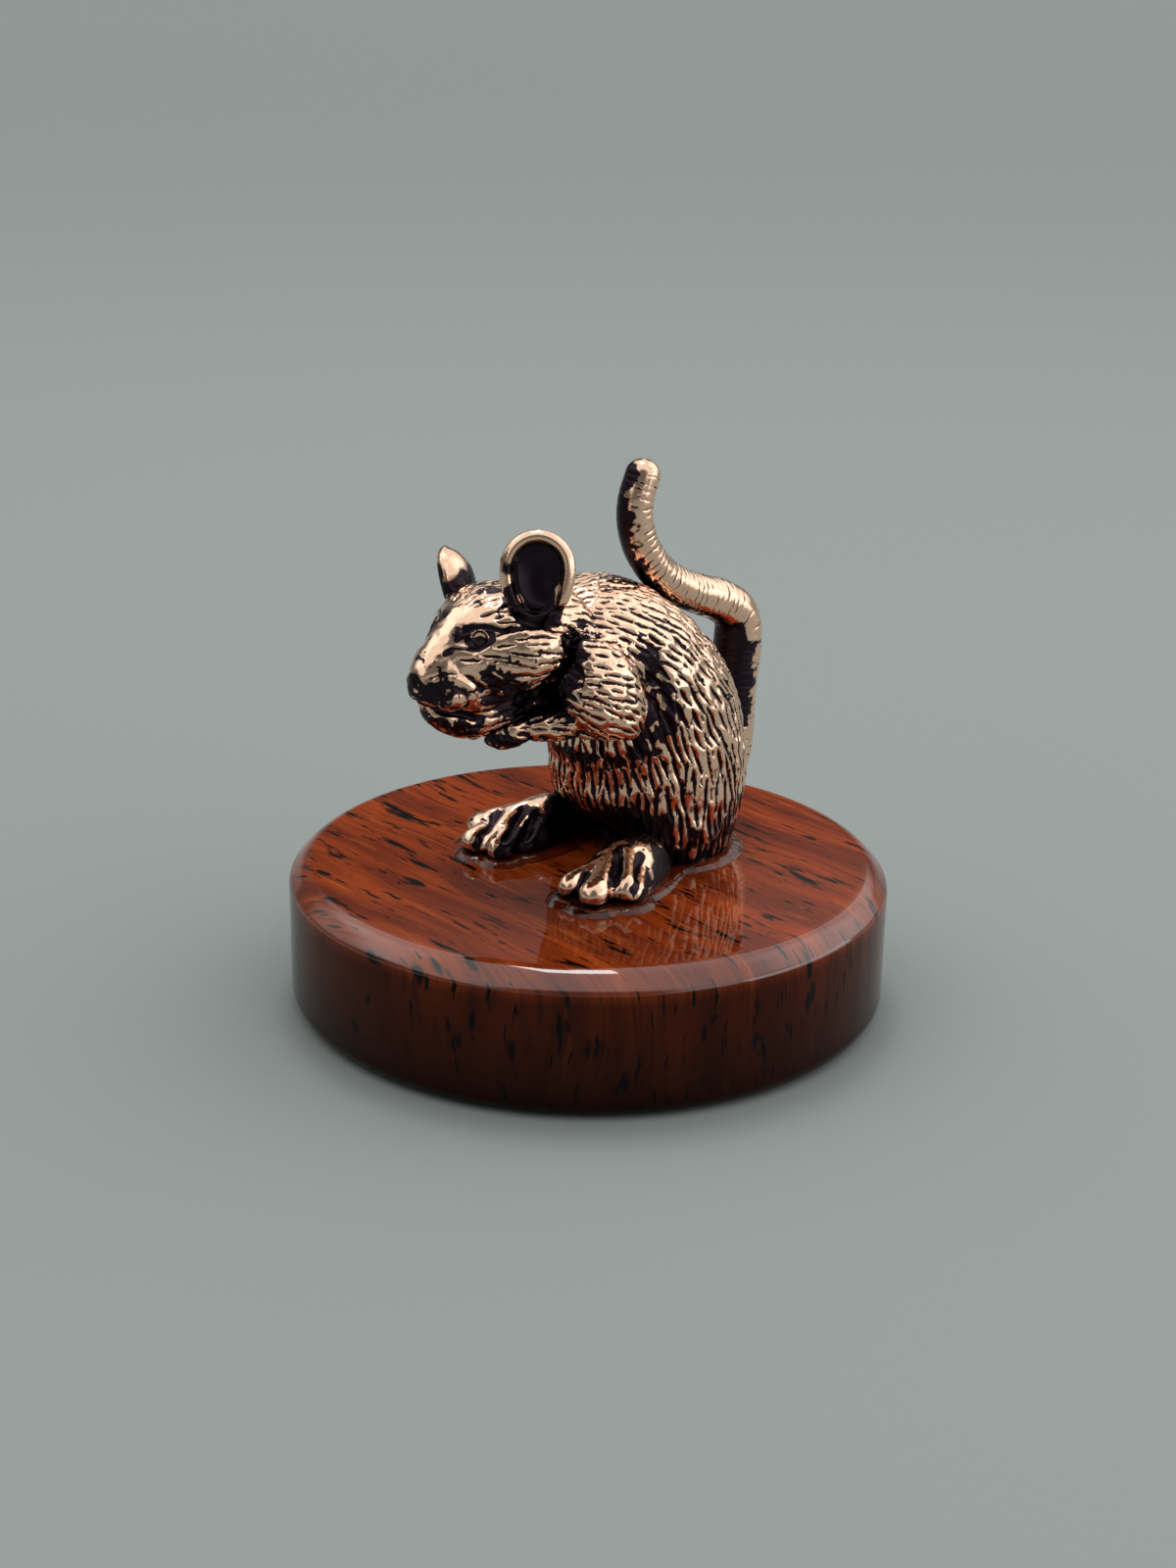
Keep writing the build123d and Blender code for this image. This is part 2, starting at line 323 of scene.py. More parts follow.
def seen_on(tree, pixels):
    """Places on a surface at pixels of the photograph."""
    found = []
    for pixel in pixels:
        hit = tree.ray_cast(Vector(lens_place), Vector(sight_line(pixel)))[0]
        if hit is not None:
            found.append(hit)
    return np.array(found)


def other_side(tree, places):
    """The same places on the figurine's far side, moved onto the surface there."""
    return np.array([tree.find_nearest(Vector((-x, y, z)))[0] for x, y, z in places])


def on_both_sides(tree, pixels):
    """Places on a surface at pixels of the photograph, and the same places on the far side."""
    near_side = seen_on(tree, pixels)
    return near_side, other_side(tree, near_side)


def lumps(points, *sizes):
    """An uneven surface: the sum of soft lumps, each given by its size and its height in millimetres."""
    return sum(height * (mottle(points, size) - 0.5) for size, height in sizes)


def line_distance(points, line):
    """Distance of each point from a line of places."""
    best = np.full(len(points), np.inf)
    for start, end in zip(line[:-1], line[1:]):
        run = end - start
        t = np.clip((points - start) @ run / max(run @ run, 1e-9), 0, 1)
        best = np.minimum(best, np.linalg.norm(points - start - t[:, None] * run, axis=1))
    return best


def carve_line(skin, line, width, depth):
    """A groove along a line of places, or a ridge where depth is below zero. It fades at both ends."""
    amount = np.zeros(len(skin.points))
    near = skin.near(line.min(0) - 2 * width, line.max(0) + 2 * width)
    away_from = line_distance(skin.points[near], line)
    ends = np.minimum(np.linalg.norm(skin.points[near] - line[0], axis=1),
                      np.linalg.norm(skin.points[near] - line[-1], axis=1))
    fade = 0.35 + 0.65 * smooth_step(0, 2.0 * width, ends)
    amount[near] = -depth * fade * np.exp(-(away_from / (0.6 * width)) ** 2)
    return amount


def line_stain(skin, line, width):
    """Black along a line of places, with a mottled edge."""
    gap = line_distance(skin.points, line) / width
    gap += 0.8 * (mottle(skin.points, 0.7) - 0.5)
    gap += 0.4 * skin.crest
    return smooth_step(1.15, 0.75, gap)


def area_mask(skin, outline, hold=1.4, edge=0.5, both=True):
    """Black inside an outline of pixels of the photograph and, for both, on the figurine's far side too.

    Its edge is mottled, and the crests stay bright up to hold millimetres inside it.
    """
    outline = np.array(outline, float)
    side = np.where((skin.points[:, :1] < 0) & both, (-1, 1, 1), (1, 1, 1))
    near_side, facing = skin.points * side, skin.normals * side
    pixels = photo_pixels(near_side)
    inside = np.zeros(len(pixels), bool)
    for (x0, y0), (x1, y1) in zip(outline, np.roll(outline, -1, 0)):
        between = (y0 > pixels[:, 1]) != (y1 > pixels[:, 1])
        crossing = x0 + (pixels[:, 1] - y0) * (x1 - x0) / (y1 - y0 if y1 != y0 else 1e-9)
        inside ^= between & (pixels[:, 0] < crossing)
    to_edge = line_distance(pixels, np.concatenate([outline, outline[:1]]))
    gap = to_edge * np.where(inside, 1, -1) / PIXELS_PER_MM
    gap += 2.4 * edge * (mottle(skin.points, 0.8) - 0.5) - hold * skin.crest
    towards = np.einsum("ij,ij->i", facing, unit(lens_place - near_side))
    return smooth_step(-0.5 * edge, 0.5 * edge, gap) * (towards > -0.1)


def dent(skin, centre, radius, depth):
    """A soft round hollow, or a bump where depth is below zero."""
    amount = np.zeros(len(skin.points))
    near = skin.near(centre - 2 * radius, centre + 2 * radius)
    away_from = np.linalg.norm(skin.points[near] - centre, axis=1)
    amount[near] = -depth * np.exp(-1.5 * (away_from / radius) ** 2)
    return amount


# Strokes of the coat: how they stray and bend, their least distance along, and the spread of their sizes.
STROKE_STRAY = 0.08
STROKE_BEND = 0.12
STROKE_RUN_SHARE = 0.31
STROKE_LENGTH_SHARES = (0.6, 1.25)
STROKE_WIDTH_SHARES = (0.7, 1.3)
STROKE_DEPTH_SHARES = (0.7, 1.2)
# How far above and below its own place a stroke still cuts, and how much of its depth goes into the cut.
STROKE_REACH = 1.2
STROKE_CUT_SHARE = 0.75


def fur(skin, flow, where, length, width, spacing, depth, tries, seed):
    """Lens-shaped strokes cut along the flow of the coat, at random but not over strokes cut before.

    The sides of a stroke slope gently, so that what is left between strokes is a rounded tuft.
    """
    draw = np.random.default_rng(seed)
    choice = np.flatnonzero(where)
    choice = draw.choice(choice, size=min(tries, len(choice)), replace=False)
    # Each stroke that is kept: its place, length and spacing.
    strokes = np.concatenate([skin.strokes, np.empty((tries, 5))])
    kept = len(skin.strokes)
    cut = np.zeros(len(skin.points))
    sides = np.zeros(len(skin.points))
    for index in choice:
        place = skin.points[index]
        normal = skin.normals[index]
        stray = draw.normal(0, STROKE_STRAY)
        along = math.cos(stray) * flow[index] + math.sin(stray) * np.cross(normal, flow[index])
        gap = strokes[:kept, :3] - place
        run = gap @ along
        aside = np.linalg.norm(gap - run[:, None] * along, axis=1)
        beside = np.abs(run) < STROKE_RUN_SHARE * (strokes[:kept, 3] + length)
        too_close = beside & (aside < 0.5 * (strokes[:kept, 4] + spacing))
        if too_close.any():
            continue
        strokes[kept] = (*place, length, spacing)
        kept += 1
        half = 0.5 * length * draw.uniform(*STROKE_LENGTH_SHARES)
        thick = width * draw.uniform(*STROKE_WIDTH_SHARES)
        deep = depth * draw.uniform(*STROKE_DEPTH_SHARES)
        bend = draw.uniform(-STROKE_BEND, STROKE_BEND)
        near = skin.near(place - half - 0.3, place + half + 0.3)
        offset = skin.points[near] - place
        share = (offset @ along) / half
        sideways = offset @ np.cross(normal, along) - bend * half * share ** 2
        on_top = np.abs(offset @ normal) < STROKE_REACH
        body = np.clip(1 - share ** 2, 0, 1)
        reach = np.maximum(thick * body ** 0.8 * (1 - 0.3 * share), 1e-3)
        across_share = sideways / reach
        hollow = deep * np.clip(1 - across_share ** 2, 0, 1) * np.sqrt(body) * on_top
        slope = 0.5 * deep * np.exp(-(across_share / 2.4) ** 2) * body * on_top
        cut[near] = np.maximum(cut[near], hollow)
        sides[near] = np.maximum(sides[near], slope)
    skin.cut = np.maximum(skin.cut, cut)
    skin.strokes = strokes[:kept]
    return -STROKE_CUT_SHARE * cut - sides


# The coat waves by up to half this angle, in lumps of this size.
COAT_WAVE = math.radians(26)
COAT_WAVE_SIZE = 3.2


def coat_flow(skin, lean):
    """The way the coat lies: backwards and down by the angle lean, a little wavy, laid onto the surface."""
    lean = lean + COAT_WAVE * (mottle(skin.points, COAT_WAVE_SIZE) - 0.5)
    wanted = np.stack([np.zeros_like(lean), np.cos(lean), -np.sin(lean)], 1)
    onto = wanted - np.einsum("ij,ij->i", wanted, skin.normals)[:, None] * skin.normals
    return unit(onto)


# Places on the figurine, from the CAD nodes' boxes.
stone_low, stone_high = (np.array(corner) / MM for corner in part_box("stone_base"))
STONE_TOP = stone_high[2]
SEAT = np.array(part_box("adhesive_bed")[1])[2] / MM

# Body: torso and both forelegs as one carved surface. Heights on it are Z and fronts are Y.
BODY_NODES = ("torso", "left_foreleg", "right_foreleg")
BODY_VOXEL = 0.13
ARM_GAP = 0.2
SHOULDER_HEIGHTS, SHOULDER_FRONTS = (27.0, 30.5), (-9.5, -7.5)
FLANK_FOOT, FLANK_TOP = (SEAT + 0.6, SEAT + 2.0), (26.5, 23.0)
COAT_FOOT = SEAT + 0.5
BODY_LUMPS = ((1.6, 0.18), (0.75, 0.11), (0.4, 0.04))
# The coat's lean in degrees: at one height, its rise for each millimetre below, and its limits.
BODY_LEAN, BODY_LEAN_HEIGHT, BODY_LEAN_RISE = 27, 36, 3.2
BODY_LEANS = (20, 88)
ARM_FRONTS, ARM_LEANS = (-8.0, -4.0, -1.0, 2.0), (12.0, 24.0, 46.0, 66.0)
# Painted shade low on the body, in mottled lumps, darker towards the seat: heights between which it grows, its
# lumps and where they start and end.
LOW_SHADE_HEIGHTS, LOW_SHADE_LUMP, LOW_SHADE_EDGE = (21.0, 14.5), 1.1, (0.28, 0.52)
body = Skin(BODY_NODES, BODY_VOXEL)
body.relax(6)
on_arm = np.minimum(*(body.gap_to(node) for node in BODY_NODES[1:])) < ARM_GAP
body_y, body_z = body.points.T[1:]
shoulder = smooth_step(*SHOULDER_HEIGHTS, body_z) * smooth_step(*SHOULDER_FRONTS, body_y)
body.melt(110, 0.5 * shoulder)
flank = smooth_step(*FLANK_FOOT, body_z) * smooth_step(*FLANK_TOP, body_z) * ~on_arm
body.melt(400, 0.5 * body.averaged(flank, 10))
body_tree = body.tree()
# Grooves of the arm and the neck, as pixels of the photograph: line, width and depth in millimetres.
body_lines = [
    ([(662, 664), (669, 680), (672, 698), (671, 716), (665, 734), (655, 750)], 1.6, 0.80),
    ([(650, 754), (630, 760), (606, 759), (584, 755)], 1.2, 0.45),
    ([(577, 640), (583, 655), (586, 675), (584, 695), (574, 712)], 1.5, 0.55),
]
# Black areas of the body: behind the arm, under it, in the neck, on the belly and the paw, and round the
# foot. Under the arm, on the belly and round the foot the black is painted shade where the head, the arms
# and the body shade it. Each: outline, how black, and how far in the crests stay bright.
body_areas = [
    ([(660, 655), (672, 662), (684, 690), (700, 722), (700, 752), (676, 762), (655, 757), (664, 735),
      (671, 705)], 1.0, 0.6),
    ([(554, 755), (600, 764), (640, 760), (660, 752), (676, 764), (655, 780), (600, 786), (556, 776)],
     1.0, 0.5),
    ([(572, 636), (588, 640), (595, 662), (598, 690), (594, 716), (575, 722), (566, 700), (580, 672)],
     1.0, 1.2),
    ([(550, 762), (600, 768), (655, 758), (700, 750), (705, 790), (670, 822), (640, 840), (590, 830),
      (556, 800)], 0.9, 7.0),
    ([(478, 742), (520, 742), (560, 752), (548, 766), (512, 772), (488, 764)], 0.95, 1.0),
    ([(580, 824), (640, 819), (690, 834), (694, 864), (664, 878), (600, 872), (566, 852)], 1.0, 0.5),
]
body_amount = np.zeros(len(body.points))
arm_stains = []
for pixels, width, depth in body_lines:
    for line in on_both_sides(body_tree, pixels):
        body_amount = np.minimum(body_amount, carve_line(body, line, width, depth))
        arm_stains.append((line, 0.75 * width))
body.push(body_amount)
body.relax(2)

body_lean = np.clip(BODY_LEAN + BODY_LEAN_RISE * (BODY_LEAN_HEIGHT - body_z), *BODY_LEANS)
arm_lean = np.interp(body_y, ARM_FRONTS, ARM_LEANS)
body_lean = np.radians(body.averaged(np.where(on_arm, arm_lean, body_lean), 12))
body_flow = coat_flow(body, body_lean)
coat = body_z > COAT_FOOT
body.push(lumps(body.points, *BODY_LUMPS))
# Strokes of the body's coat: where, highest place, length, width, spacing, depth, tries and seed.
body_strokes = [
    (~on_arm, 27.0, 3.6, 0.19, 0.66, 0.28, 9000, 20),
    (~on_arm, 34.0, 2.6, 0.17, 0.62, 0.26, 10000, 24),
    (on_arm, math.inf, 1.7, 0.14, 0.54, 0.20, 6000, 23),
    (coat, math.inf, 1.3, 0.11, 0.48, 0.16, 12000, 21),
    (coat, math.inf, 0.7, 0.08, 0.42, 0.08, 12000, 22),
]
for where, top, *stroke in body_strokes:
    body.push(fur(body, body_flow, coat & where & (body_z < top), *stroke))
body.find_crests()
for line, width in arm_stains:
    body.blacken(line_stain(body, line, width))
for outline, amount, hold in body_areas:
    body.blacken(amount * area_mask(body, outline, hold))
# Painted shade low on the body, broken into lumps and lighter on the crests.
low_shade_share = smooth_step(*LOW_SHADE_HEIGHTS, body_z) * smooth_step(*LOW_SHADE_EDGE, mottle(body.points, LOW_SHADE_LUMP))
body.blacken(0.85 * low_shade_share * (1 - 0.4 * body.crest))

# Head: muzzle, cheeks and both ears as one carved surface, with a plug that reaches into the neck.
HEAD_NODES = ("head", "left_ear", "right_ear")
HEAD_VOXEL = 0.105
NECK_PLUG = ((0.0, -6.2, 30.6), 4.6)
EYE_PIXEL = (488.5, 651)
EYE_RADIUS = 0.72
EYE_SINK = 0.16
EYE_BLEND = 0.16
NOSE_TIP = np.array([0.0, -18.4, 30.4])
# Each ear: centre of its rim, side, turn outwards and lean back in degrees.
EARS = [((4.96, -10.22, 39.26), 1, 48, 12), ((-6.70, -9.87, 35.66), -1, 46, -16)]
# The ear's outline and its hollow: half the width, and the reach up and down from the centre.
EAR_OUTLINE = (2.95, 3.04, 4.56)
EAR_HOLLOW = (1.90, 1.99, 3.51)
# The ears start at these distances from the skull, and none of them reaches behind this place.
EAR_BLEND = (0.10, 0.35)
EAR_BACK = -6.5
# How far the rim is rounded, and how far its lower end sinks between two heights below the centre.
RIM_ROUND = 0.45
LOBE_SINK, LOBE_HEIGHTS = 1.1, (-2.6, -4.4)
# Where the back of the head runs into the body, and from how far it is drawn down.
NAPE_HEIGHTS, NAPE_FRONTS, NAPE_REACH = (32.0, 33.5), (-11.5, -9.5), 1.8
HEAD_LUMPS = ((1.3, 0.10), (0.6, 0.09), (0.35, 0.05))
HEAD_HEIGHTS, HEAD_LEANS = (30.0, 32.0, 34.5, 36.5), (-8.0, 2.0, 15.0, 30.0)


def in_ear(points, centre, side, turn, lean):
    """Height above an ear's centre and out of its rim, places in its hollow and outline, and its facing."""
    turn, lean = math.radians(turn), math.radians(lean)
    facing = np.array([side * math.sin(turn) * math.cos(lean), -math.cos(turn) * math.cos(lean),
                       math.sin(lean)])
    sideways = np.array([math.cos(turn), side * math.sin(turn), 0])
    offset = points - centre
    aside, rise, out = (offset @ axis for axis in (sideways, np.cross(facing, sideways), facing))
    rings = [np.hypot(aside / wide, rise / np.where(rise > 0, high, low))
             for wide, high, low in (EAR_HOLLOW, EAR_OUTLINE)]
    return rise, out, *rings, facing


head = Skin(HEAD_NODES, HEAD_VOXEL, [NECK_PLUG])
head.relax(8)
ear_share = head.averaged(smooth_step(*EAR_BLEND, head.gap_to("head")), 6)
ear_share *= head.points[:, 1] < EAR_BACK
head.plain = ear_share
for ear in EARS:
    rise, out, inner, outer, facing = in_ear(head.points, *ear)
    rim_place = np.clip((inner - 1) / np.maximum(inner - outer, 1e-6), 0, 1)
    drop = RIM_ROUND * (2 * rim_place - 1) ** 2 + LOBE_SINK * smooth_step(*LOBE_HEIGHTS, rise)
    head.points -= np.outer(drop * ear_share * (out > -0.7) * (outer < 1.1) * (inner > 0.9), facing)
head.refresh()
head.melt(18, 0.5 * ear_share)
head_y, head_z = head.points.T[1:]
nape = smooth_step(*NAPE_HEIGHTS, head_z) * smooth_step(*NAPE_FRONTS, head_y) * (1 - ear_share)
head.settle(body_tree, NAPE_REACH, nape)
head_tree = head.tree()

# Lines and hollows of the face, as pixels of the photograph: line, width and depth in millimetres.
lid_line = [(466, 653), (473, 646), (482, 641), (494, 640), (506, 642), (518, 643), (530, 641), (541, 638)]
under_eye_line = [(454, 667), (463, 661), (474, 661), (486, 663), (499, 658)]
cheek_line = [(500, 695), (518, 704), (538, 709), (556, 705), (571, 694), (578, 675), (577, 655)]
face_lines = [
    ([(459, 661), (473, 655), (487, 650), (501, 645), (511, 642)], 1.15, 0.45),
    (lid_line, 0.55, 0.30),
    (under_eye_line, 0.45, 0.25),
    ([(466, 672), (476, 674), (486, 674), (494, 671)], 0.35, 0.18),
    ([(500, 677), (518, 673), (535, 669)], 0.32, 0.18),
    ([(507, 683), (530, 678), (555, 671)], 0.32, 0.18),
    ([(515, 690), (532, 686), (550, 680)], 0.32, 0.18),
    ([(525, 660), (540, 657), (555, 655)], 0.32, 0.18),
    ([(538, 667), (552, 663), (566, 660)], 0.32, 0.18),
    ([(470, 688), (482, 694), (491, 704), (494, 716)], 0.55, 0.32),
    ([(432, 695), (446, 690), (460, 688), (472, 690)], 0.40, 0.15),
    ([(424, 716), (437, 723), (453, 728), (472, 730), (492, 735)], 0.45, 0.40),
    ([(447, 733), (448, 746)], 0.34, 0.22),
    ([(456, 734), (458, 749)], 0.34, 0.22),
    ([(466, 735), (468, 750)], 0.34, 0.22),
    ([(477, 736), (479, 749)], 0.34, 0.22),
    (cheek_line, 0.90, 0.50),
]
face_ridges = [
    ([(479, 679), (490, 670), (500, 664), (510, 657)], 0.45, -0.16),
    ([(472, 636), (482, 631), (494, 629), (508, 632)], 0.50, -0.14),
    ([(474, 720), (483, 715), (487, 706)], 0.45, -0.14),
]
bright_lid_line = [(462, 672), (476, 670), (490, 668), (503, 661), (512, 655)]
# Hollows, and bumps where the depth is below zero: place, radius and depth.
face_hollows = [
    ((504, 713), 1.2, 0.60),
    ((546, 718), 1.8, 0.80),
    ((570, 712), 1.5, 0.70),
    ((585, 655), 1.4, 0.45),
    ((586, 685), 1.4, 0.45),
    ((470, 680), 1.1, 0.28),
    ((550, 668), 2.3, -0.45),
    ((528, 682), 1.6, -0.25),
    ((500, 628), 1.3, -0.18),
    ((459, 703), 1.4, -0.22),
    ((569, 668), 1.1, -0.35),
    ((566, 692), 1.2, 0.40),
]
whisker_pits = [
    (440, 698), (450, 695), (461, 694), (445, 706), (456, 704), (467, 703), (452, 714), (463, 713)]
face_hollows += [(pit, 0.30, 0.12) for pit in whisker_pits]
ear_notch_line = [(563, 616), (566, 626), (567, 638)]
NOTCH_WIDTH = NOTCH_DEPTH = 1.1
# Black areas of the near ear, and the bright wall of its bowl. The black on the ear's outer rim is painted
# shade.
near_ear_hollow = [
    (525, 580), (529, 566), (538, 559), (550, 557), (562, 559), (571, 567), (574, 580), (573, 592),
    (569, 606), (564, 618), (570, 624), (572, 634), (566, 642), (556, 642), (542, 628), (530, 610)]
near_ear_wall = [
    (576, 566), (584, 580), (584, 600), (580, 622), (572, 626), (565, 618), (570, 606), (574, 592)]
near_ear_rim = [
    (509, 592), (516, 572), (523, 566), (524, 598), (536, 618), (548, 630), (530, 634), (513, 618)]
near_ear_foot = [
    (512, 598), (524, 592), (533, 612), (545, 628), (558, 642), (546, 648), (524, 636), (510, 618)]
# Black areas of the face: the muzzle, the chin, under the cheek, and two on the brow. Under the cheek it is
# painted shade. Each: outline and how black.
face_areas = [
    ([(416, 710), (422, 692), (444, 693), (452, 689), (464, 692), (474, 697), (485, 709), (480, 716),
      (456, 717), (438, 725)], 1.0),
    ([(428, 724), (452, 730), (486, 729), (502, 740), (486, 758), (456, 756), (436, 744)], 1.0),
    ([(489, 694), (500, 682), (520, 686), (545, 700), (562, 698), (578, 682), (590, 700), (590, 748),
      (540, 746), (506, 738), (490, 716)], 1.0),
    ([(462, 622), (470, 620), (476, 634), (470, 648), (458, 656), (452, 650)], 0.62),
    ([(486, 599), (500, 594), (514, 597), (522, 606), (508, 613), (492, 607)], 0.85),
]
eye_spot = seen_on(head_tree, [EYE_PIXEL])[0]
eye_index = np.argmin(np.linalg.norm(head.points - eye_spot, axis=1))
near_eye = eye_spot - EYE_SINK * head.normals[eye_index]
eyes = (near_eye, near_eye * (-1, 1, 1))
head_stains = []
for pixels, width in ((lid_line, 0.45), (under_eye_line, 0.30), (cheek_line, 0.9)):
    head_stains += [(line, width) for line in on_both_sides(head_tree, pixels)]
face_amount = np.zeros(len(head.points))
for pixels, width, depth in face_lines + face_ridges:
    for line in on_both_sides(head_tree, pixels):
        amount = carve_line(head, line, width, depth)
        face_amount = np.where(np.abs(amount) > np.abs(face_amount), amount, face_amount)
for pixel, radius, depth in face_hollows:
    for spot in np.concatenate(on_both_sides(head_tree, [pixel])):
        face_amount += dent(head, spot, radius, depth)
face_amount *= 1 - ear_share
ear_notch = seen_on(head_tree, ear_notch_line)
face_amount = np.minimum(face_amount, carve_line(head, ear_notch, NOTCH_WIDTH, NOTCH_DEPTH))
head.push(face_amount)
head.melt(10, 0.5 * smooth_step(1.8, 0.9, line_distance(head.points, ear_notch)))
for eye in eyes:
    ring = np.linalg.norm(head.points - eye, axis=1)
    ball = np.exp(-(np.maximum(ring - EYE_RADIUS, 0) / EYE_BLEND) ** 2)[:, None]
    outwards = eye + EYE_RADIUS * unit(head.points - eye)
    on_ball = ring[:, None] < 1.35 * EYE_RADIUS
    head.points = np.where(on_ball, head.points + ball * (outwards - head.points), head.points)
head.refresh()

head_y, head_z = head.points.T[1:]
head_flow = coat_flow(head, np.radians(np.interp(head_z, HEAD_HEIGHTS, HEAD_LEANS)))
eye_gap = np.minimum(*(np.linalg.norm(head.points - eye, axis=1) for eye in eyes))
# The muzzle and the surround of the eyes have no coat.
coat = (ear_share < 0.2) & (head_y > np.where(head_z > 31.6, -17.6, -15.6)) & (eye_gap > 1.7)
calm = smooth_step(0.9, 2.2, eye_gap) * (1 - ear_share)
head.push(lumps(head.points, *HEAD_LUMPS) * calm)
# Strokes of the head's coat: highest and foremost place, length, width, spacing, depth, tries and seed.
head_strokes = [
    (34.5, -14.0, 2.6, 0.14, 0.74, 0.20, 5000, 30),
    (math.inf, -13.0, 1.4, 0.10, 0.56, 0.14, 8000, 31),
    (math.inf, -13.4, 0.7, 0.07, 0.60, 0.07, 6000, 32),
]
for top, front, *stroke in head_strokes:
    head.push(fur(head, head_flow, coat & (head_z < top) & (head_y > front), *stroke))

# Black in the ears, round the eyes, on the muzzle and the nose, and behind the cheeks, where it was left after
# rubbing; under the cheek, on the near ear's outer rim and on the lower half of each eye ball it is painted
# shade.
head.find_crests()
in_near_ear = smooth_step(*EAR_BLEND, ear_share) * (head.points[:, 0] > 0)
head.cut += 0.3 * area_mask(head, near_ear_hollow, 0, 0.3) * in_near_ear
rise, out, inner, outer, facing = in_ear(head.points, *EARS[1])
edge = inner + 0.12 * (mottle(head.points, 0.6) - 0.5) - 0.35 * smooth_step(-2.4, -4.2, rise)
far_hollow = smooth_step(1.10, 0.96, edge) * (out < 0.4) * (out > -2.4) * (head.normals @ facing > -0.1)
head.cut += 0.3 * far_hollow
specks = smooth_step(0.20, 0.34, 0.6 * mottle(head.points, 0.6) + 0.4 * mottle(head.points, 0.25))
for outline, amount in face_areas:
    head.blacken(amount * area_mask(head, outline, 0.6, 0.9) * specks * (1 - ear_share))
# Painted shade on the near ear's outer rim.
head.blacken(0.7 * area_mask(head, near_ear_rim, 0.5, 0.9) * in_near_ear)
head.blacken(0.95 * area_mask(head, near_ear_foot, 0, 0.4) * in_near_ear)
head.rubbed = 0.85 * area_mask(head, near_ear_wall, 0, 0.5) * in_near_ear
foot_edge = smooth_step(38.2, 36.6, head_z + 2 * lumps(head.points, (0.9, 1)))
far_ear_foot = ear_share * (head.points[:, 0] < 0) * foot_edge
head.blacken(0.8 * far_ear_foot)
for line, width in head_stains:
    head.blacken(line_stain(head, line, width))
nose_gap = np.linalg.norm(head.points - NOSE_TIP, axis=1)
head.blacken(0.85 * specks * smooth_step(1.7, 0.7, nose_gap + 1.2 * (mottle(head.points, 0.6) - 0.5)))
# The eyes: rubbed bright above, and black below as painted shade.
for eye in eyes:
    offset = head.points - eye
    on_eye = np.linalg.norm(offset, axis=1) < EYE_RADIUS + 0.06
    bright = smooth_step(-0.20, 0.05, offset[:, 2] + 0.3 * (mottle(head.points, 0.4) - 0.5))
    head.rubbed = np.maximum(head.rubbed, on_eye * bright)
    head.blacken(0.95 * on_eye * (1 - bright))
    socket = np.linalg.norm(offset * (1, 0.75, 1.2), axis=1) - EYE_RADIUS
    head.blacken(smooth_step(0.55, 0.30, socket + 0.25 * (mottle(head.points, 0.5) - 0.5)) * ~on_eye)
for line in on_both_sides(head_tree, bright_lid_line):
    head.rubbed = np.maximum(head.rubbed, 0.9 * line_stain(head, line, 0.22))

# Hind feet: thick toes with black gaps between them, as pixels of the photograph.
FOOT_VOXEL = 0.1
FOOT_GROWTH = 0.45
FOOT_LIFT = 0.05
FOOT_LUMPS = ((1.0, 0.06), (0.5, 0.05))
TOE_GAP_WIDTH, TOE_GAP_DEPTH, TOE_GAP_BLACK = 0.80, 0.70, 0.45
toe_gaps = {
    "left_hind_foot": [
        [(612, 862), (604, 874), (597, 890), (588, 914)],
        [(631, 862), (629, 880), (627, 900), (625, 924)],
        [(654, 872), (652, 890), (648, 910)],
    ],
    "right_hind_foot": [
        [(516, 818), (506, 828), (497, 843), (486, 864)],
        [(536, 822), (527, 834), (519, 850), (507, 870)],
        [(548, 832), (540, 848), (530, 866)],
    ],
}
# Painted shade on the feet: the outer side of one and the inner half of the other.
foot_shade_areas = {
    "left_hind_foot": [(666, 862), (688, 858), (690, 900), (655, 918), (650, 908), (660, 892)],
    "right_hind_foot": [(512, 856), (524, 838), (540, 826), (562, 824), (566, 868), (540, 874), (506, 876)],
}
feet = {}
for node, gaps in toe_gaps.items():
    foot = Skin((node,), FOOT_VOXEL)
    foot.relax(5)
    foot.thicken(FOOT_GROWTH, FOOT_VOXEL)
    foot.melt(60, np.full(len(foot.points), 0.5))
    foot.points[:, 2] = np.maximum(foot.points[:, 2], STONE_TOP + FOOT_LIFT)
    foot.refresh()
    foot_tree = foot.tree()
    foot_amount = np.zeros(len(foot.points))
    for pixels in gaps:
        line = seen_on(foot_tree, pixels)
        foot_amount = np.minimum(foot_amount, carve_line(foot, line, TOE_GAP_WIDTH, TOE_GAP_DEPTH))
        foot.blacken(line_stain(foot, line, TOE_GAP_BLACK))
    foot.push(foot_amount)
    foot.relax(2)
    foot.push(lumps(foot.points, *FOOT_LUMPS))
    foot.find_crests()
    foot.blacken(0.9 * area_mask(foot, foot_shade_areas[node], 0.3, 0.6, False))
    feet[node] = foot


# Materials.
def linear(hex_colour):
    """An sRGB hex colour as the linear colour that a shader takes."""
    channels = [int(hex_colour[i:i + 2], 16) / 255 for i in (1, 3, 5)]
    return [c / 12.92 if c <= 0.04045 else ((c + 0.055) / 1.055) ** 2.4 for c in channels] + [1.0]


def add_node(tree, kind, inputs=(), **settings):
    """Adds a node, sets its properties, and sets or links its inputs, given in order or by name.

    A node that is given for an input is linked by its first output.
    """
    node = tree.nodes.new(kind)
    for name, value in settings.items():
        setattr(node, name, value)
    for key, value in inputs.items() if isinstance(inputs, dict) else enumerate(inputs):
        if isinstance(value, bpy.types.Node):
            value = value.outputs[0]
        if isinstance(value, bpy.types.NodeSocket):
            tree.links.new(value, node.inputs[key])
        else:
            node.inputs[key].default_value = value
    return node


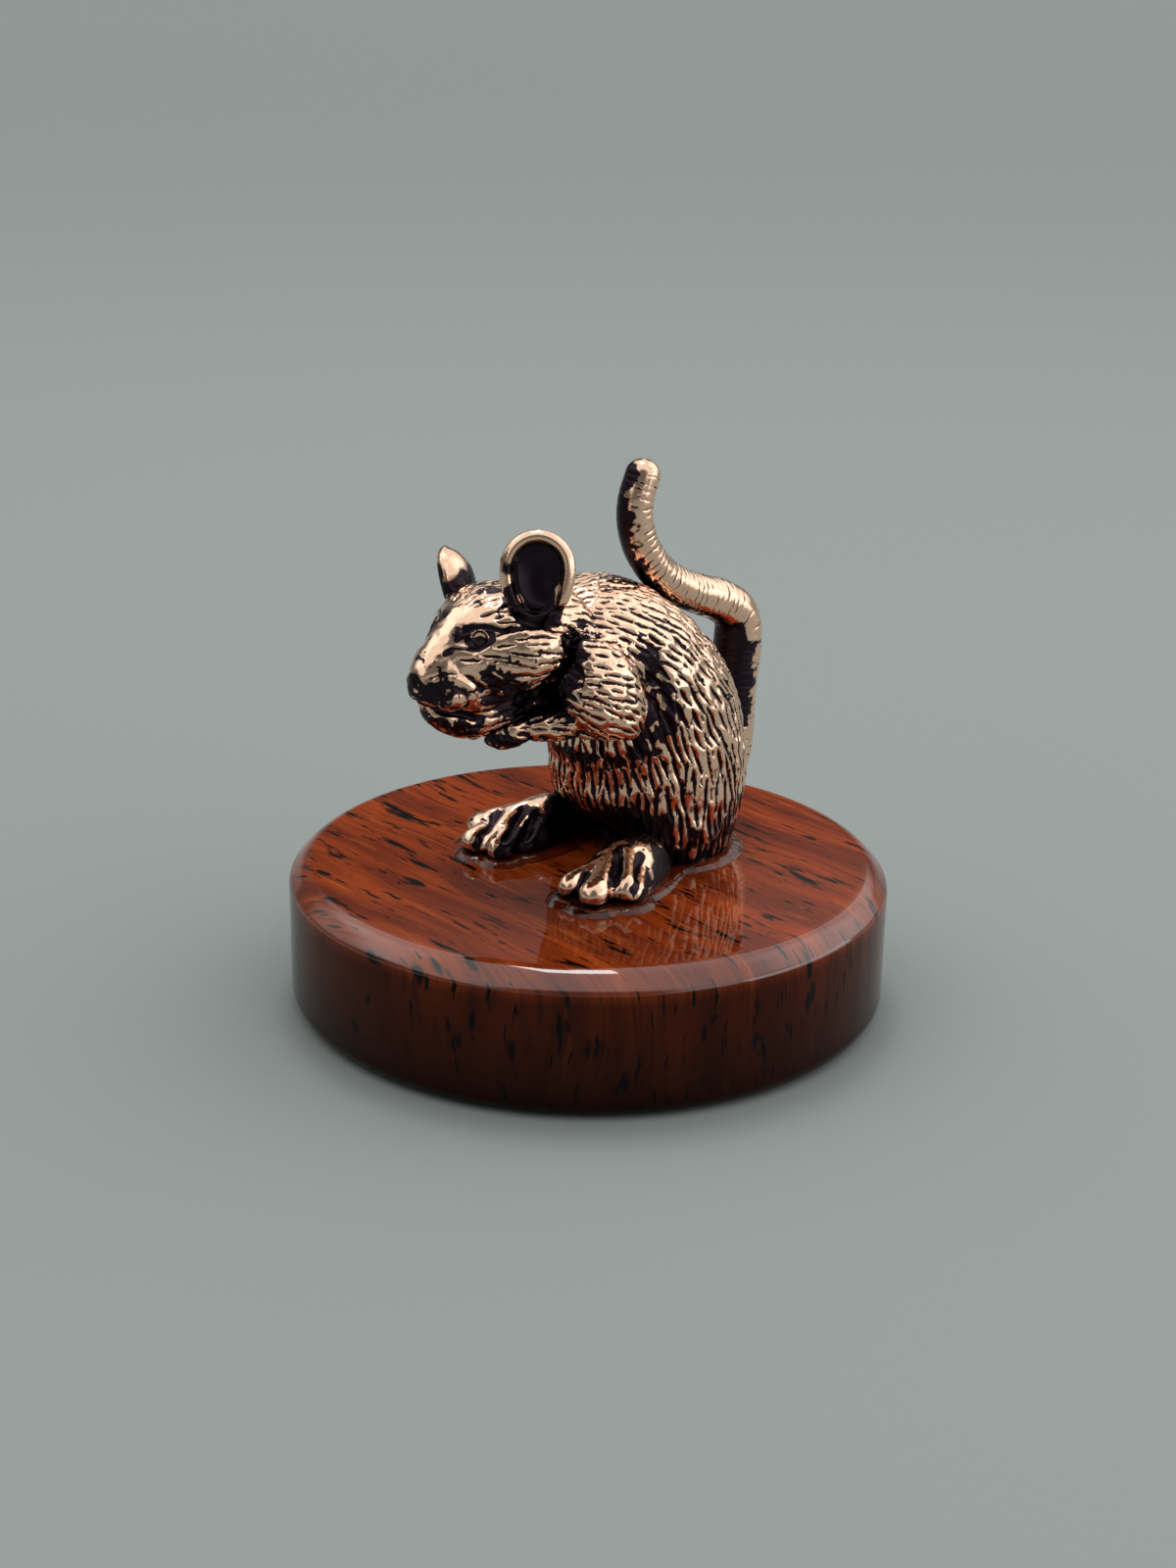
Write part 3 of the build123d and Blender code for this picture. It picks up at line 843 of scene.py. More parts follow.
def new_material(name):
    """An empty material, and what adds nodes to it."""
    material = bpy.data.materials.new(name)
    material.use_nodes = True
    material.node_tree.nodes.clear()
    return material, partial(add_node, material.node_tree)


# Sizes of the bronze's patterns: specks at the patina's edge, and the grain of the casting with its height.
SPECK_SIZE = 0.5
GRAIN_SIZE = 0.25
GRAIN_HEIGHT = 0.1


def polished_bronze():
    """Cast bronze, given a black patination by dipping and then rubbed: bright warm crests, black cuts. Its
    black also stands for painted shade.
    """
    material, add = new_material("polished_cast_bronze")
    coords = add("ShaderNodeTexCoord").outputs["Object"]
    # How black each point is: patination, and painted shade in hollows and under parts.
    patina = add("ShaderNodeAttribute", attribute_name="patina").outputs["Fac"]
    speck = add("ShaderNodeTexNoise", {"Vector": coords, "Scale": 1 / (SPECK_SIZE * MM), "Detail": 4})
    edge = add("ShaderNodeMath", (speck, -0.5), operation="ADD")
    edge = add("ShaderNodeMath", (edge, 0.5, patina), operation="MULTIPLY_ADD")
    black = add("ShaderNodeMapRange", {"Value": edge, "From Min": 0.30, "From Max": 0.62})
    colour = add("ShaderNodeMix", {0: black, 6: linear("#FBCFB2"), 7: linear("#2D232A")}, data_type="RGBA")
    rough = add("ShaderNodeMapRange", {"Value": black, "To Min": 0.13, "To Max": 0.34})
    grain = add("ShaderNodeTexNoise", {"Vector": coords, "Scale": 1 / (GRAIN_SIZE * MM), "Detail": 3})
    bump = add("ShaderNodeBump", {"Height": grain, "Strength": 0.12, "Distance": GRAIN_HEIGHT * MM})
    metal = add("ShaderNodeBsdfPrincipled", {
        "Base Color": colour.outputs[2], "Metallic": 1.0, "Roughness": rough, "Normal": bump})
    add("ShaderNodeOutputMaterial", (metal,))
    return material


# The stone's flow streaks are bent by this much, over lumps of this size.
FLOW_SIZE = 14
FLOW_BEND = 2.5
# Painted shade on the stone's side, darker towards the bottom: heights between which it thins, and heights
# between which it ends below the top.
SIDE_SHADE_HEIGHTS = (0.5, 10.5)
SIDE_SHADE_END = (STONE_TOP - 2.4, STONE_TOP - 0.7)


def volcanic_glass(name, shine):
    """Mahogany volcanic glass, ground and polished: red-brown with black flow streaks and a mirror gloss."""
    material, add = new_material(name)
    coords = add("ShaderNodeTexCoord").outputs["Object"]
    flow = add("ShaderNodeTexNoise", {"Vector": coords, "Scale": 1 / (FLOW_SIZE * MM), "Detail": 1})
    bent = add("ShaderNodeVectorMath", (flow.outputs["Color"], (-0.5,) * 3), operation="ADD")
    bent = add("ShaderNodeVectorMath", (bent, (FLOW_BEND * MM,) * 3, coords), operation="MULTIPLY_ADD")

    def streaks(size, detail, low, high):
        laid = add("ShaderNodeMapping", {"Vector": bent, "Scale": tuple(1 / (s * MM) for s in size)})
        noise = add("ShaderNodeTexNoise", {"Vector": laid, "Scale": 1.0, "Detail": detail})
        return add("ShaderNodeMapRange", (noise, low, high), interpolation_type="SMOOTHSTEP")

    height = add("ShaderNodeSeparateXYZ", (coords,)).outputs[2]
    # Painted shade on the side: darker towards the bottom, and none near the top.
    depth = add("ShaderNodeMapRange", (height, *(z * MM for z in SIDE_SHADE_HEIGHTS), 1.0, 0.72))
    below = add("ShaderNodeMapRange", (height, *(z * MM for z in SIDE_SHADE_END), 1.0, 0.0))
    side_shade = add("ShaderNodeMath", (depth, below), operation="MULTIPLY")
    # What lies over the red-brown, and the painted shade on the side: where it shows and its colour. Streaks
    # have their size in millimetres.
    tints = [
        (streaks((24, 3.2, 18), 3, 0.35, 0.70), "#6A260E"),
        (streaks((9, 0.7, 8), 4, 0.54, 0.86), "#B5551F"),
        (streaks((6, 0.30, 5), 4, 0.46, 0.80), "#5E1F0A"),
        (side_shade, "#180502"),
        (streaks((5.5, 1.1, 5.0), 3, 0.60, 0.68), "#0A0403"),
        (streaks((3.2, 0.42, 3.6), 2, 0.635, 0.70), "#0A0403"),
    ]
    colour = linear("#A04014")
    for share, tint in tints:
        colour = add("ShaderNodeMix", {0: share, 6: colour, 7: linear(tint)}, data_type="RGBA").outputs[2]
    glass = add("ShaderNodeBsdfPrincipled", {
        "Base Color": colour, "Roughness": 0.035, "IOR": 1.49, "Specular IOR Level": shine})
    add("ShaderNodeOutputMaterial", (glass,))
    return material


def clear_glue():
    """Clear set glue: a glossy colourless film with a bright rim."""
    material, add = new_material("clear_set_glue")
    glue = add("ShaderNodeBsdfPrincipled", {
        "Base Color": linear("#F4EDEA"), "Roughness": 0.05, "IOR": 1.47, "Transmission Weight": 1.0})
    add("ShaderNodeOutputMaterial", (glue,))
    return material


def floor_board():
    """Matt painted board: plain pale grey."""
    material, add = new_material("matt_painted_board")
    paint = add("ShaderNodeBsdfPrincipled", {"Base Color": linear("#969B99"), "Roughness": 0.9})
    add("ShaderNodeOutputMaterial", (paint,))
    return material


bronze = polished_bronze()
# The bevel was polished last and mirrors the room most.
glass_stone = volcanic_glass("polished_volcanic_glass", 0.12)
glass_bevel = volcanic_glass("fine_polished_volcanic_glass", 1.0)
set_glue = clear_glue()

# Tail: a tube swept along its route, with ring cuts, by Geometry Nodes. The route is Y and Z.
TAIL_ROUTE = [
    (11.74, 14.68), (14.10, 15.54), (15.68, 17.46), (16.12, 19.94), (16.18, 22.47), (16.43, 24.98),
    (16.81, 27.48), (16.53, 29.96), (14.63, 31.55), (12.28, 32.49), (9.95, 33.47), (7.79, 34.77),
    (6.00, 36.55), (4.75, 38.74), (4.39, 41.22), (5.15, 43.61), (5.60, 44.95)]
TAIL_DIAMETER = 4.5
# The tail's thickness: place along it and share of the diameter.
TAIL_GIRTHS = [(0.00, 1.00), (0.35, 0.97), (0.50, 0.85), (0.65, 0.73), (1.00, 0.65)]
TAIL_PITCH = 0.1
TAIL_SIDES = 64
TAIL_RING_SPACING = 0.62
TAIL_RING_DEPTH = 0.07
# The side of the tail that faces the body and down, which gets painted shade.
TAIL_SHADED_SIDE = (-0.45, -0.85, -0.25)
# Painted shade on the tail between these heights, where the body shelters it.
TAIL_SHELTER_TOP, TAIL_SHELTER_FOOT = (31, 27), (18.5, 21.5)
# Sizes of the tail's mottling.
TAIL_COARSE, TAIL_MEDIUM, TAIL_FINE = 1.6, 0.9, 0.45


def tail_tree():
    """The node tree of the tail: sweep it along its route, round its tip and press rings into it."""
    tree = bpy.data.node_groups.new("tail_sweep", "GeometryNodeTree")
    add = partial(add_node, tree)
    face = tree.interface
    face.new_socket("Route", in_out="INPUT", socket_type="NodeSocketGeometry")
    for label in ("Tip Radius", "Ring Spacing", "Ring Depth", "Seed"):
        face.new_socket(label, in_out="INPUT", socket_type="NodeSocketFloat")
    face.new_socket("Shaded Side", in_out="INPUT", socket_type="NodeSocketVector")
    face.new_socket("Bronze", in_out="INPUT", socket_type="NodeSocketMaterial")
    face.new_socket("Tail", in_out="OUTPUT", socket_type="NodeSocketGeometry")
    given = add("NodeGroupInput").outputs

    # The sweep: the radius shrinks as a half circle over the last stretch, as long as the tip's radius.
    even = add("GeometryNodeResampleCurve", {"Curve": given["Route"], "Length": TAIL_PITCH * MM},
               mode="LENGTH")
    place = add("GeometryNodeSplineParameter").outputs["Length"]
    full = add("GeometryNodeSplineLength").outputs["Length"]
    left = add("ShaderNodeMath", (full, place), operation="SUBTRACT")
    left = add("ShaderNodeMath", (left, given["Tip Radius"]), operation="DIVIDE")
    left = add("ShaderNodeMath", (left, 1.0), operation="MINIMUM")
    inside = add("ShaderNodeMath", (1.0, left), operation="SUBTRACT")
    square = add("ShaderNodeMath", (inside, inside), operation="MULTIPLY")
    rest = add("ShaderNodeMath", (1.0, square), operation="SUBTRACT")
    rest = add("ShaderNodeMath", (rest, 0.0004), operation="MAXIMUM")
    tip = add("ShaderNodeMath", (rest,), operation="SQRT")
    girth = add("ShaderNodeMath", (add("GeometryNodeInputRadius"), tip), operation="MULTIPLY")
    marked = add("GeometryNodeStoreNamedAttribute", {"Geometry": even, "Name": "along", "Value": place},
                 domain="POINT")
    ring = add("GeometryNodeCurvePrimitiveCircle", {"Resolution": TAIL_SIDES, "Radius": 1.0})
    tube = add("GeometryNodeCurveToMesh", {
        "Curve": marked, "Profile Curve": ring, "Scale": girth, "Fill Caps": True})

    # The rings: an uneven wave along the tail, pressed in where the mottling lets it.
    along = add("GeometryNodeInputNamedAttribute", {"Name": "along"}, data_type="FLOAT")
    where = add("GeometryNodeInputPosition")
    normal = add("GeometryNodeInputNormal")
    coarse, medium, fine = (
        add("ShaderNodeTexNoise", {
            "Vector": where, "W": given["Seed"], "Scale": 1 / (size * MM), "Detail": 2.0}, noise_dimensions="4D")
        for size in (TAIL_COARSE, TAIL_MEDIUM, TAIL_FINE))
    turns = add("ShaderNodeMath", (along, given["Ring Spacing"]), operation="DIVIDE")
    shift = add("ShaderNodeMath", (coarse, 1.6), operation="MULTIPLY")
    turns = add("ShaderNodeMath", (turns, shift), operation="ADD")
    turns = add("ShaderNodeMath", (turns, math.pi), operation="MULTIPLY")
    wave = add("ShaderNodeMath", (turns,), operation="SINE")
    wave = add("ShaderNodeMath", (wave,), operation="ABSOLUTE")
    cut = add("ShaderNodeMapRange", (wave, 0.55, 0.0), interpolation_type="SMOOTHSTEP")
    patchy = add("ShaderNodeMapRange", (medium, 0.40, 0.60), interpolation_type="SMOOTHSTEP")
    groove = add("ShaderNodeMath", (cut, patchy), operation="MULTIPLY")
    inwards = add("ShaderNodeMath", (given["Ring Depth"], -1.0), operation="MULTIPLY")
    amount = add("ShaderNodeMath", (groove, inwards), operation="MULTIPLY")
    offset = add("ShaderNodeVectorMath", {0: normal, "Scale": amount}, operation="SCALE")
    pressed = add("GeometryNodeSetPosition", {"Geometry": tube, "Offset": offset})

    # Painted shade on the side that faces the body and where the body shelters the tail, mottled, and black
    # patination in the rings.
    facing = add("ShaderNodeVectorMath", (normal, given["Shaded Side"]), operation="DOT_PRODUCT")
    facing = facing.outputs["Value"]
    height = add("ShaderNodeSeparateXYZ", (where,)).outputs[2]
    upper, lower = (
        add("ShaderNodeMapRange", (height, *(z * MM for z in ends)), interpolation_type="SMOOTHSTEP")
        for ends in (TAIL_SHELTER_TOP, TAIL_SHELTER_FOOT))
    sheltered = add("ShaderNodeMath", (upper, lower), operation="MULTIPLY")
    coarse, fine = (add("ShaderNodeMath", (noise, 0.5), operation="SUBTRACT") for noise in (coarse, fine))
    for part, weight in ((sheltered, 0.95), (coarse, 1.4), (fine, 1.2)):
        part = add("ShaderNodeMath", (part, weight), operation="MULTIPLY")
        facing = add("ShaderNodeMath", (facing, part), operation="ADD")
    shaded = add("ShaderNodeMapRange", (facing, 0.10, 0.70), interpolation_type="SMOOTHSTEP")
    ringed = add("ShaderNodeMath", (groove, 0.9), operation="MULTIPLY")
    black = add("ShaderNodeMath", (ringed, shaded), operation="MAXIMUM")
    dark = add("GeometryNodeStoreNamedAttribute", {"Geometry": pressed, "Name": "patina", "Value": black},
               domain="POINT")
    smooth = add("GeometryNodeSetShadeSmooth", {"Geometry": dark})
    real = add("GeometryNodeRealizeInstances", (smooth,))
    coloured = add("GeometryNodeSetMaterial", {"Geometry": real, "Material": given["Bronze"]})
    add("NodeGroupOutput", (coloured,))
    return tree


def made_by_nodes(source, tree, settings):
    """Runs a node tree on an object and returns the result as a plain mesh."""
    bpy.context.scene.collection.objects.link(source)
    modifier = source.modifiers.new(tree.name, "NODES")
    modifier.node_group = tree
    for item in tree.interface.items_tree:
        if item.in_out == "INPUT" and item.name in settings:
            modifier[item.identifier] = settings[item.name]
    graph = bpy.context.evaluated_depsgraph_get()
    mesh = bpy.data.meshes.new_from_object(source.evaluated_get(graph))
    source.modifiers.remove(modifier)
    bpy.data.objects.remove(source)
    return mesh


route = bpy.data.curves.new("tail_route", "CURVE")
route.dimensions = "3D"
route.resolution_u = 24
spline = route.splines.new("BEZIER")
spline.bezier_points.add(len(TAIL_ROUTE) - 1)
girth_places, girth_shares = np.array(TAIL_GIRTHS).T
for k, (point, (y, z)) in enumerate(zip(spline.bezier_points, TAIL_ROUTE)):
    point.co = (0, y * MM, z * MM)
    point.handle_left_type = point.handle_right_type = "AUTO"
    # The last point is the end of the rounded tip.
    point.radius = TAIL_DIAMETER / 2 * MM * np.interp(k / (len(TAIL_ROUTE) - 2), girth_places, girth_shares)
tail_mesh = made_by_nodes(bpy.data.objects.new("tail_route", route), tail_tree(), {
    "Tip Radius": TAIL_DIAMETER / 2 * girth_shares[-1] * MM, "Ring Spacing": TAIL_RING_SPACING * MM,
    "Ring Depth": TAIL_RING_DEPTH * MM, "Seed": 3.0, "Shaded Side": TAIL_SHADED_SIDE, "Bronze": bronze})
finish_piece(tail_mesh, "mouse_tail", bronze, ("tail",))
tail_points = mesh_points(tail_mesh) / MM
tail_faces = [list(polygon.vertices) for polygon in tail_mesh.polygons]

# Patina: black stays in the cuts and hollows, and the crests are rubbed bright. The black in hollows is partly
# painted shade, where the bronze, the tail and the stone close off the light.
# What closes a hollow: the bronze, the tail and a square plate at the height of the stone's top.
PLATE_HALF = 30
SQUARE_CORNERS = ((-1, -1), (1, -1), (1, 1), (-1, 1))
stone_plate = [(x * PLATE_HALF, y * PLATE_HALF, STONE_TOP) for x, y in SQUARE_CORNERS]
skins = [body, head, *feet.values()]
cast_points = np.concatenate([s.points for s in skins])
cast_starts = np.cumsum([0] + [len(s.points) for s in skins])
shelter_points = cast_points.tolist() + tail_points.tolist() + stone_plate
shelter_faces = [face for s, shift in zip(skins, cast_starts) for face in (s.faces + shift).tolist()]
shelter_faces += [[k + len(cast_points) for k in face] for face in tail_faces]
shelter_faces.append([len(cast_points) + len(tail_points) + k for k in range(4)])
shelter_tree = BVHTree.FromPolygons(shelter_points, shelter_faces)
# Rays from each sample, how far they reach, where they start above the surface, and how many samples.
OPEN_RAYS = 20
OPEN_REACH = 7.0
OPEN_START = 0.35
OPEN_SAMPLES = 7000
OPEN_SEED = 50
# Depths of cuts and creases, shares of closed view and lumps of pits between which black sets in.
CUT_BLACK, CREASE_BLACK = (0.025, 0.09), (0.03, 0.10)
HOLLOW_BLACK, PIT_BLACK = (0.34, 0.60), (0.76, 0.86)
PIT_SIZE = 0.40
PIT_SHIFT = 40.0


def hollow_share(skin, seed):
    """How much of the view out from each point is closed off by what is nearby, from 0 to 1."""
    draw = np.random.default_rng(seed)
    chosen = draw.choice(len(skin.points), size=min(OPEN_SAMPLES, len(skin.points)), replace=False)
    ring = np.arange(OPEN_RAYS) + 0.5
    lift = np.sqrt(1 - ring / OPEN_RAYS)
    turn = math.pi * (1 + math.sqrt(5)) * ring
    flat = np.sqrt(1 - lift ** 2)
    fan = np.stack([flat * np.cos(turn), flat * np.sin(turn), lift], 1)
    known = KDTree(len(chosen))
    closed = np.zeros(len(chosen))
    for k, index in enumerate(chosen):
        normal = skin.normals[index]
        side = unit(np.cross(normal, (0.31, 0.77, 0.55)))
        basis = np.stack([side, np.cross(normal, side), normal])
        start = Vector(skin.points[index] + OPEN_START * normal)
        for ray in fan @ basis:
            gap = shelter_tree.ray_cast(start, Vector(ray), OPEN_REACH)[3]
            if gap is not None:
                closed[k] += 1 - 0.5 * gap / OPEN_REACH
        known.insert(skin.points[index], k)
    known.balance()
    nearest = np.array([known.find(p)[1] for p in skin.points])
    return skin.averaged(closed[nearest] / OPEN_RAYS, 12)


for number, skin in enumerate(skins):
    closed = hollow_share(skin, OPEN_SEED + number)
    grain = mottle(skin.points, 0.5) - 0.5
    skin.find_crests()
    cut_dark = smooth_step(*CUT_BLACK, skin.cut + 0.05 * grain)
    crease_dark = smooth_step(*CREASE_BLACK, skin.sunk(40) + 0.03 * grain)
    # Black where the view out is closed off: patination in hollows, and painted shade under the arms, under the
    # tail and next to the stone.
    hollow_dark = smooth_step(*HOLLOW_BLACK, closed + 0.14 * (mottle(skin.points, 1.4) - 0.5))
    hollow_dark *= 1 - 0.4 * skin.crest
    pits = 0.7 * smooth_step(*PIT_BLACK, mottle(skin.points + PIT_SHIFT, PIT_SIZE)) * (1 - skin.plain)
    bright = np.ones(len(skin.points))
    for black in (cut_dark, crease_dark, hollow_dark, pits, 0.8 * skin.valley, skin.placed_patina_and_shade):
        bright *= 1 - black
    skin.dark = (1 - bright) * (1 - skin.rubbed)

body.piece("mouse_body", bronze, BODY_NODES, "bronze")
head.piece("mouse_head", bronze, HEAD_NODES, "bronze")
for node, foot in feet.items():
    foot.piece("mouse_" + node, bronze, (node,), "bronze")

# Stone: a turned disc with a bevelled and softly rounded edge.
STONE_RADIUS = (stone_high[0] - stone_low[0]) / 2
STONE_BEVEL = 1.4
STONE_TOP_ROUND = 2.0
STONE_SIDE_ROUND = 0.8
STONE_FOOT_ROUND = 1.7
STONE_TURNS = 288
STONE_ARC_STEPS = 12
# The finely polished band: how far it runs below the bevel, and how far below the top it starts.
BAND_BELOW, BAND_ABOVE = 0.15, 0.06


def rounded_outline(corners, radii, steps):
    """An open outline whose inner corners are rounded by arcs."""
    outline = [np.array(corners[0], float)]
    for before, corner, after, radius in zip(corners, corners[1:], corners[2:], radii):
        corner = np.array(corner, float)
        one = unit(np.array(before, float) - corner)
        two = unit(np.array(after, float) - corner)
        half = math.acos(np.clip(one @ two, -1, 1)) / 2
        middle = corner + unit(one + two) * radius / math.sin(half)
        first = corner + one * radius / math.tan(half) - middle
        last = corner + two * radius / math.tan(half) - middle
        for t in np.linspace(0, 1, steps):
            outline.append(middle + radius * unit((1 - t) * first + t * last))
    outline.append(np.array(corners[-1], float))
    return np.array(outline)


def turned_mesh(name, outline, turns):
    """A closed mesh of revolution about Z from an outline that starts and ends on the axis."""
    angles = np.linspace(0, 2 * math.pi, turns, endpoint=False)
    inner = outline[1:-1]
    ring = [np.stack([r * np.cos(angles), r * np.sin(angles), np.full(turns, z)], 1) for r, z in inner]
    points = np.concatenate([[[0, 0, outline[0][1]]], *ring, [[0, 0, outline[-1][1]]]])
    faces = []
    for k in range(turns):
        after = (k + 1) % turns
        faces.append((0, 1 + k, 1 + after))
        for row in range(len(inner) - 1):
            low, high = 1 + row * turns, 1 + (row + 1) * turns
            faces.append((low + k, high + k, high + after, low + after))
        last = 1 + (len(inner) - 1) * turns
        faces.append((len(points) - 1, last + after, last + k))
    mesh = bpy.data.meshes.new(name)
    mesh.from_pydata((points * MM).tolist(), [], faces)
    mesh.polygons.foreach_set("use_smooth", np.ones(len(faces), bool))
    return mesh


stone_corners = [
    (0, STONE_TOP), (STONE_RADIUS - STONE_BEVEL, STONE_TOP), (STONE_RADIUS, STONE_TOP - STONE_BEVEL),
    (STONE_RADIUS, 0), (0, 0)]
stone_rounds = (STONE_TOP_ROUND, STONE_SIDE_ROUND, STONE_FOOT_ROUND)
stone_outline = rounded_outline(stone_corners, stone_rounds, STONE_ARC_STEPS)
stone_mesh = turned_mesh("stone_disc", stone_outline, STONE_TURNS)
finish_piece(stone_mesh, "stone_disc", glass_stone, ("stone_base",))
stone_mesh.materials.append(glass_bevel)
bevel_low, bevel_high = (STONE_TOP - STONE_BEVEL - BAND_BELOW) * MM, (STONE_TOP - BAND_ABOVE) * MM
for polygon in stone_mesh.polygons:
    polygon.material_index = int(bevel_low < polygon.center.z < bevel_high)

# Glue: a film with a rounded edge that runs a little beyond the bronze.
GLUE_PITCH = 0.16
GLUE_THICK = 0.42
GLUE_REACH = 1.1
GLUE_SINK = 0.12
# Bronze below this height over its seat touches the glue. The reach varies in lumps of this size.
GLUE_TOUCH = 0.35
GLUE_LUMP = 3.5


def glue_mesh():
    """A closed film on the stone. Its rounded edge dips into the stone, so that its outline is smooth."""
    low_points = cast_points[cast_points[:, 2] < SEAT + GLUE_TOUCH]
    touch = KDTree(len(low_points))
    for k, place in enumerate(low_points):
        touch.insert((place[0], place[1], 0), k)
    touch.balance()
    low = low_points[:, :2].min(0) - 2 * GLUE_REACH
    high = low_points[:, :2].max(0) + 2 * GLUE_REACH
    xs = np.arange(low[0], high[0], GLUE_PITCH)
    ys = np.arange(low[1], high[1], GLUE_PITCH)
    grid = np.stack(np.meshgrid(xs, ys, indexing="ij"), -1)
    flat = grid.reshape(-1, 2)
    gap = np.array([touch.find((x, y, 0))[2] for x, y in flat])
    places = np.concatenate([flat, np.zeros((len(flat), 1))], 1)
    reach = GLUE_REACH * (0.6 + 0.8 * mottle(places, GLUE_LUMP))
    height = GLUE_THICK * (1 - np.clip(gap / reach, 0, 1.25) ** 3)
    height = np.maximum(height, -0.8 * GLUE_SINK).reshape(grid.shape[:2])
    wet = (gap < 1.2 * reach).reshape(grid.shape[:2])
    cells = wet[:-1, :-1] & wet[1:, :-1] & wet[1:, 1:] & wet[:-1, 1:]
    sheet = bmesh.new()
    made = {}

    def corner(i, j, top):
        if (i, j, top) not in made:
            z = STONE_TOP + height[i, j] if top else STONE_TOP - GLUE_SINK
            made[i, j, top] = sheet.verts.new((xs[i] * MM, ys[j] * MM, z * MM))
        return made[i, j, top]

    for i, j in zip(*np.nonzero(cells)):
        loop = [(i, j), (i + 1, j), (i + 1, j + 1), (i, j + 1)]
        sheet.faces.new([corner(*c, True) for c in loop])
        sheet.faces.new([corner(*c, False) for c in reversed(loop)])
        for one, two, beside in zip(loop, loop[1:] + loop[:1], ((0, -1), (1, 0), (0, 1), (-1, 0))):
            a, b = i + beside[0], j + beside[1]
            inside = 0 <= a < cells.shape[0] and 0 <= b < cells.shape[1] and cells[a, b]
            if not inside:
                wall = ((two, True), (one, True), (one, False), (two, False))
                sheet.faces.new([corner(*c, top) for c, top in wall])
    mesh = bpy.data.meshes.new("glue_film")
    sheet.to_mesh(mesh)
    sheet.free()
    mesh.polygons.foreach_set("use_smooth", np.ones(len(mesh.polygons), bool))
    return mesh


finish_piece(glue_mesh(), "glue_film", set_glue, ("adhesive_bed",))

# Floor, world, lights and camera.
FLOOR_HALF = 8.0
floor_mesh = bpy.data.meshes.new("floor")
floor_corners = [(x * FLOOR_HALF, y * FLOOR_HALF, 0) for x, y in SQUARE_CORNERS]
floor_mesh.from_pydata(floor_corners, [], [(0, 1, 2, 3)])
floor_mesh.materials.append(floor_board())
floor = bpy.data.objects.new("floor", floor_mesh)
bpy.context.scene.collection.objects.link(floor)

# A soft dome of light. Its middle leans from straight up to the right, and a dark card stands round the
# lens. Two soft windows, back left and back right, give the pale band on the bevel. For each: where it is,
# the cosines of the angles from there between which the light changes, and its levels at them.
DOME_RISE, DOME_TURN = math.radians(68), math.radians(60)
DOME_EDGE, DOME_LEVELS = (0.12, 0.34), (0.12, 0.97)
CARD_RISE = math.radians(25)
CARD_EDGE, CARD_LEVELS = (0.78, 0.93), (1.0, 0.15)
WINDOW_RISE, WINDOW_TURN = math.radians(37), math.radians(115)
WINDOW_EDGE, WINDOW_LEVELS = (0.88, 0.98), (0.0, 0.55)
BACKDROP_EDGE, BACKDROP_LEVELS = (math.sin(math.radians(6)), math.sin(math.radians(9))), (1.0, 0.0)


def from_object(rise, turn):
    """A direction from the figurine: rise above the floor, and turn to the right from the lens."""
    level = -math.cos(turn) * away + math.sin(turn) * across
    return tuple(math.sin(rise) * upright + math.cos(rise) * level)


world = bpy.data.worlds.new("studio_dome")
world.use_nodes = True
bpy.context.scene.world = world
world.node_tree.nodes.clear()
add = partial(add_node, world.node_tree)
looking = add("ShaderNodeTexCoord").outputs["Generated"]


def dome_ramp(direction, edge, levels):
    """A value that changes smoothly with the angle from a direction."""
    towards = add("ShaderNodeVectorMath", (looking, direction), operation="DOT_PRODUCT").outputs["Value"]
    return add("ShaderNodeMapRange", (towards, *edge, *levels), interpolation_type="SMOOTHSTEP")


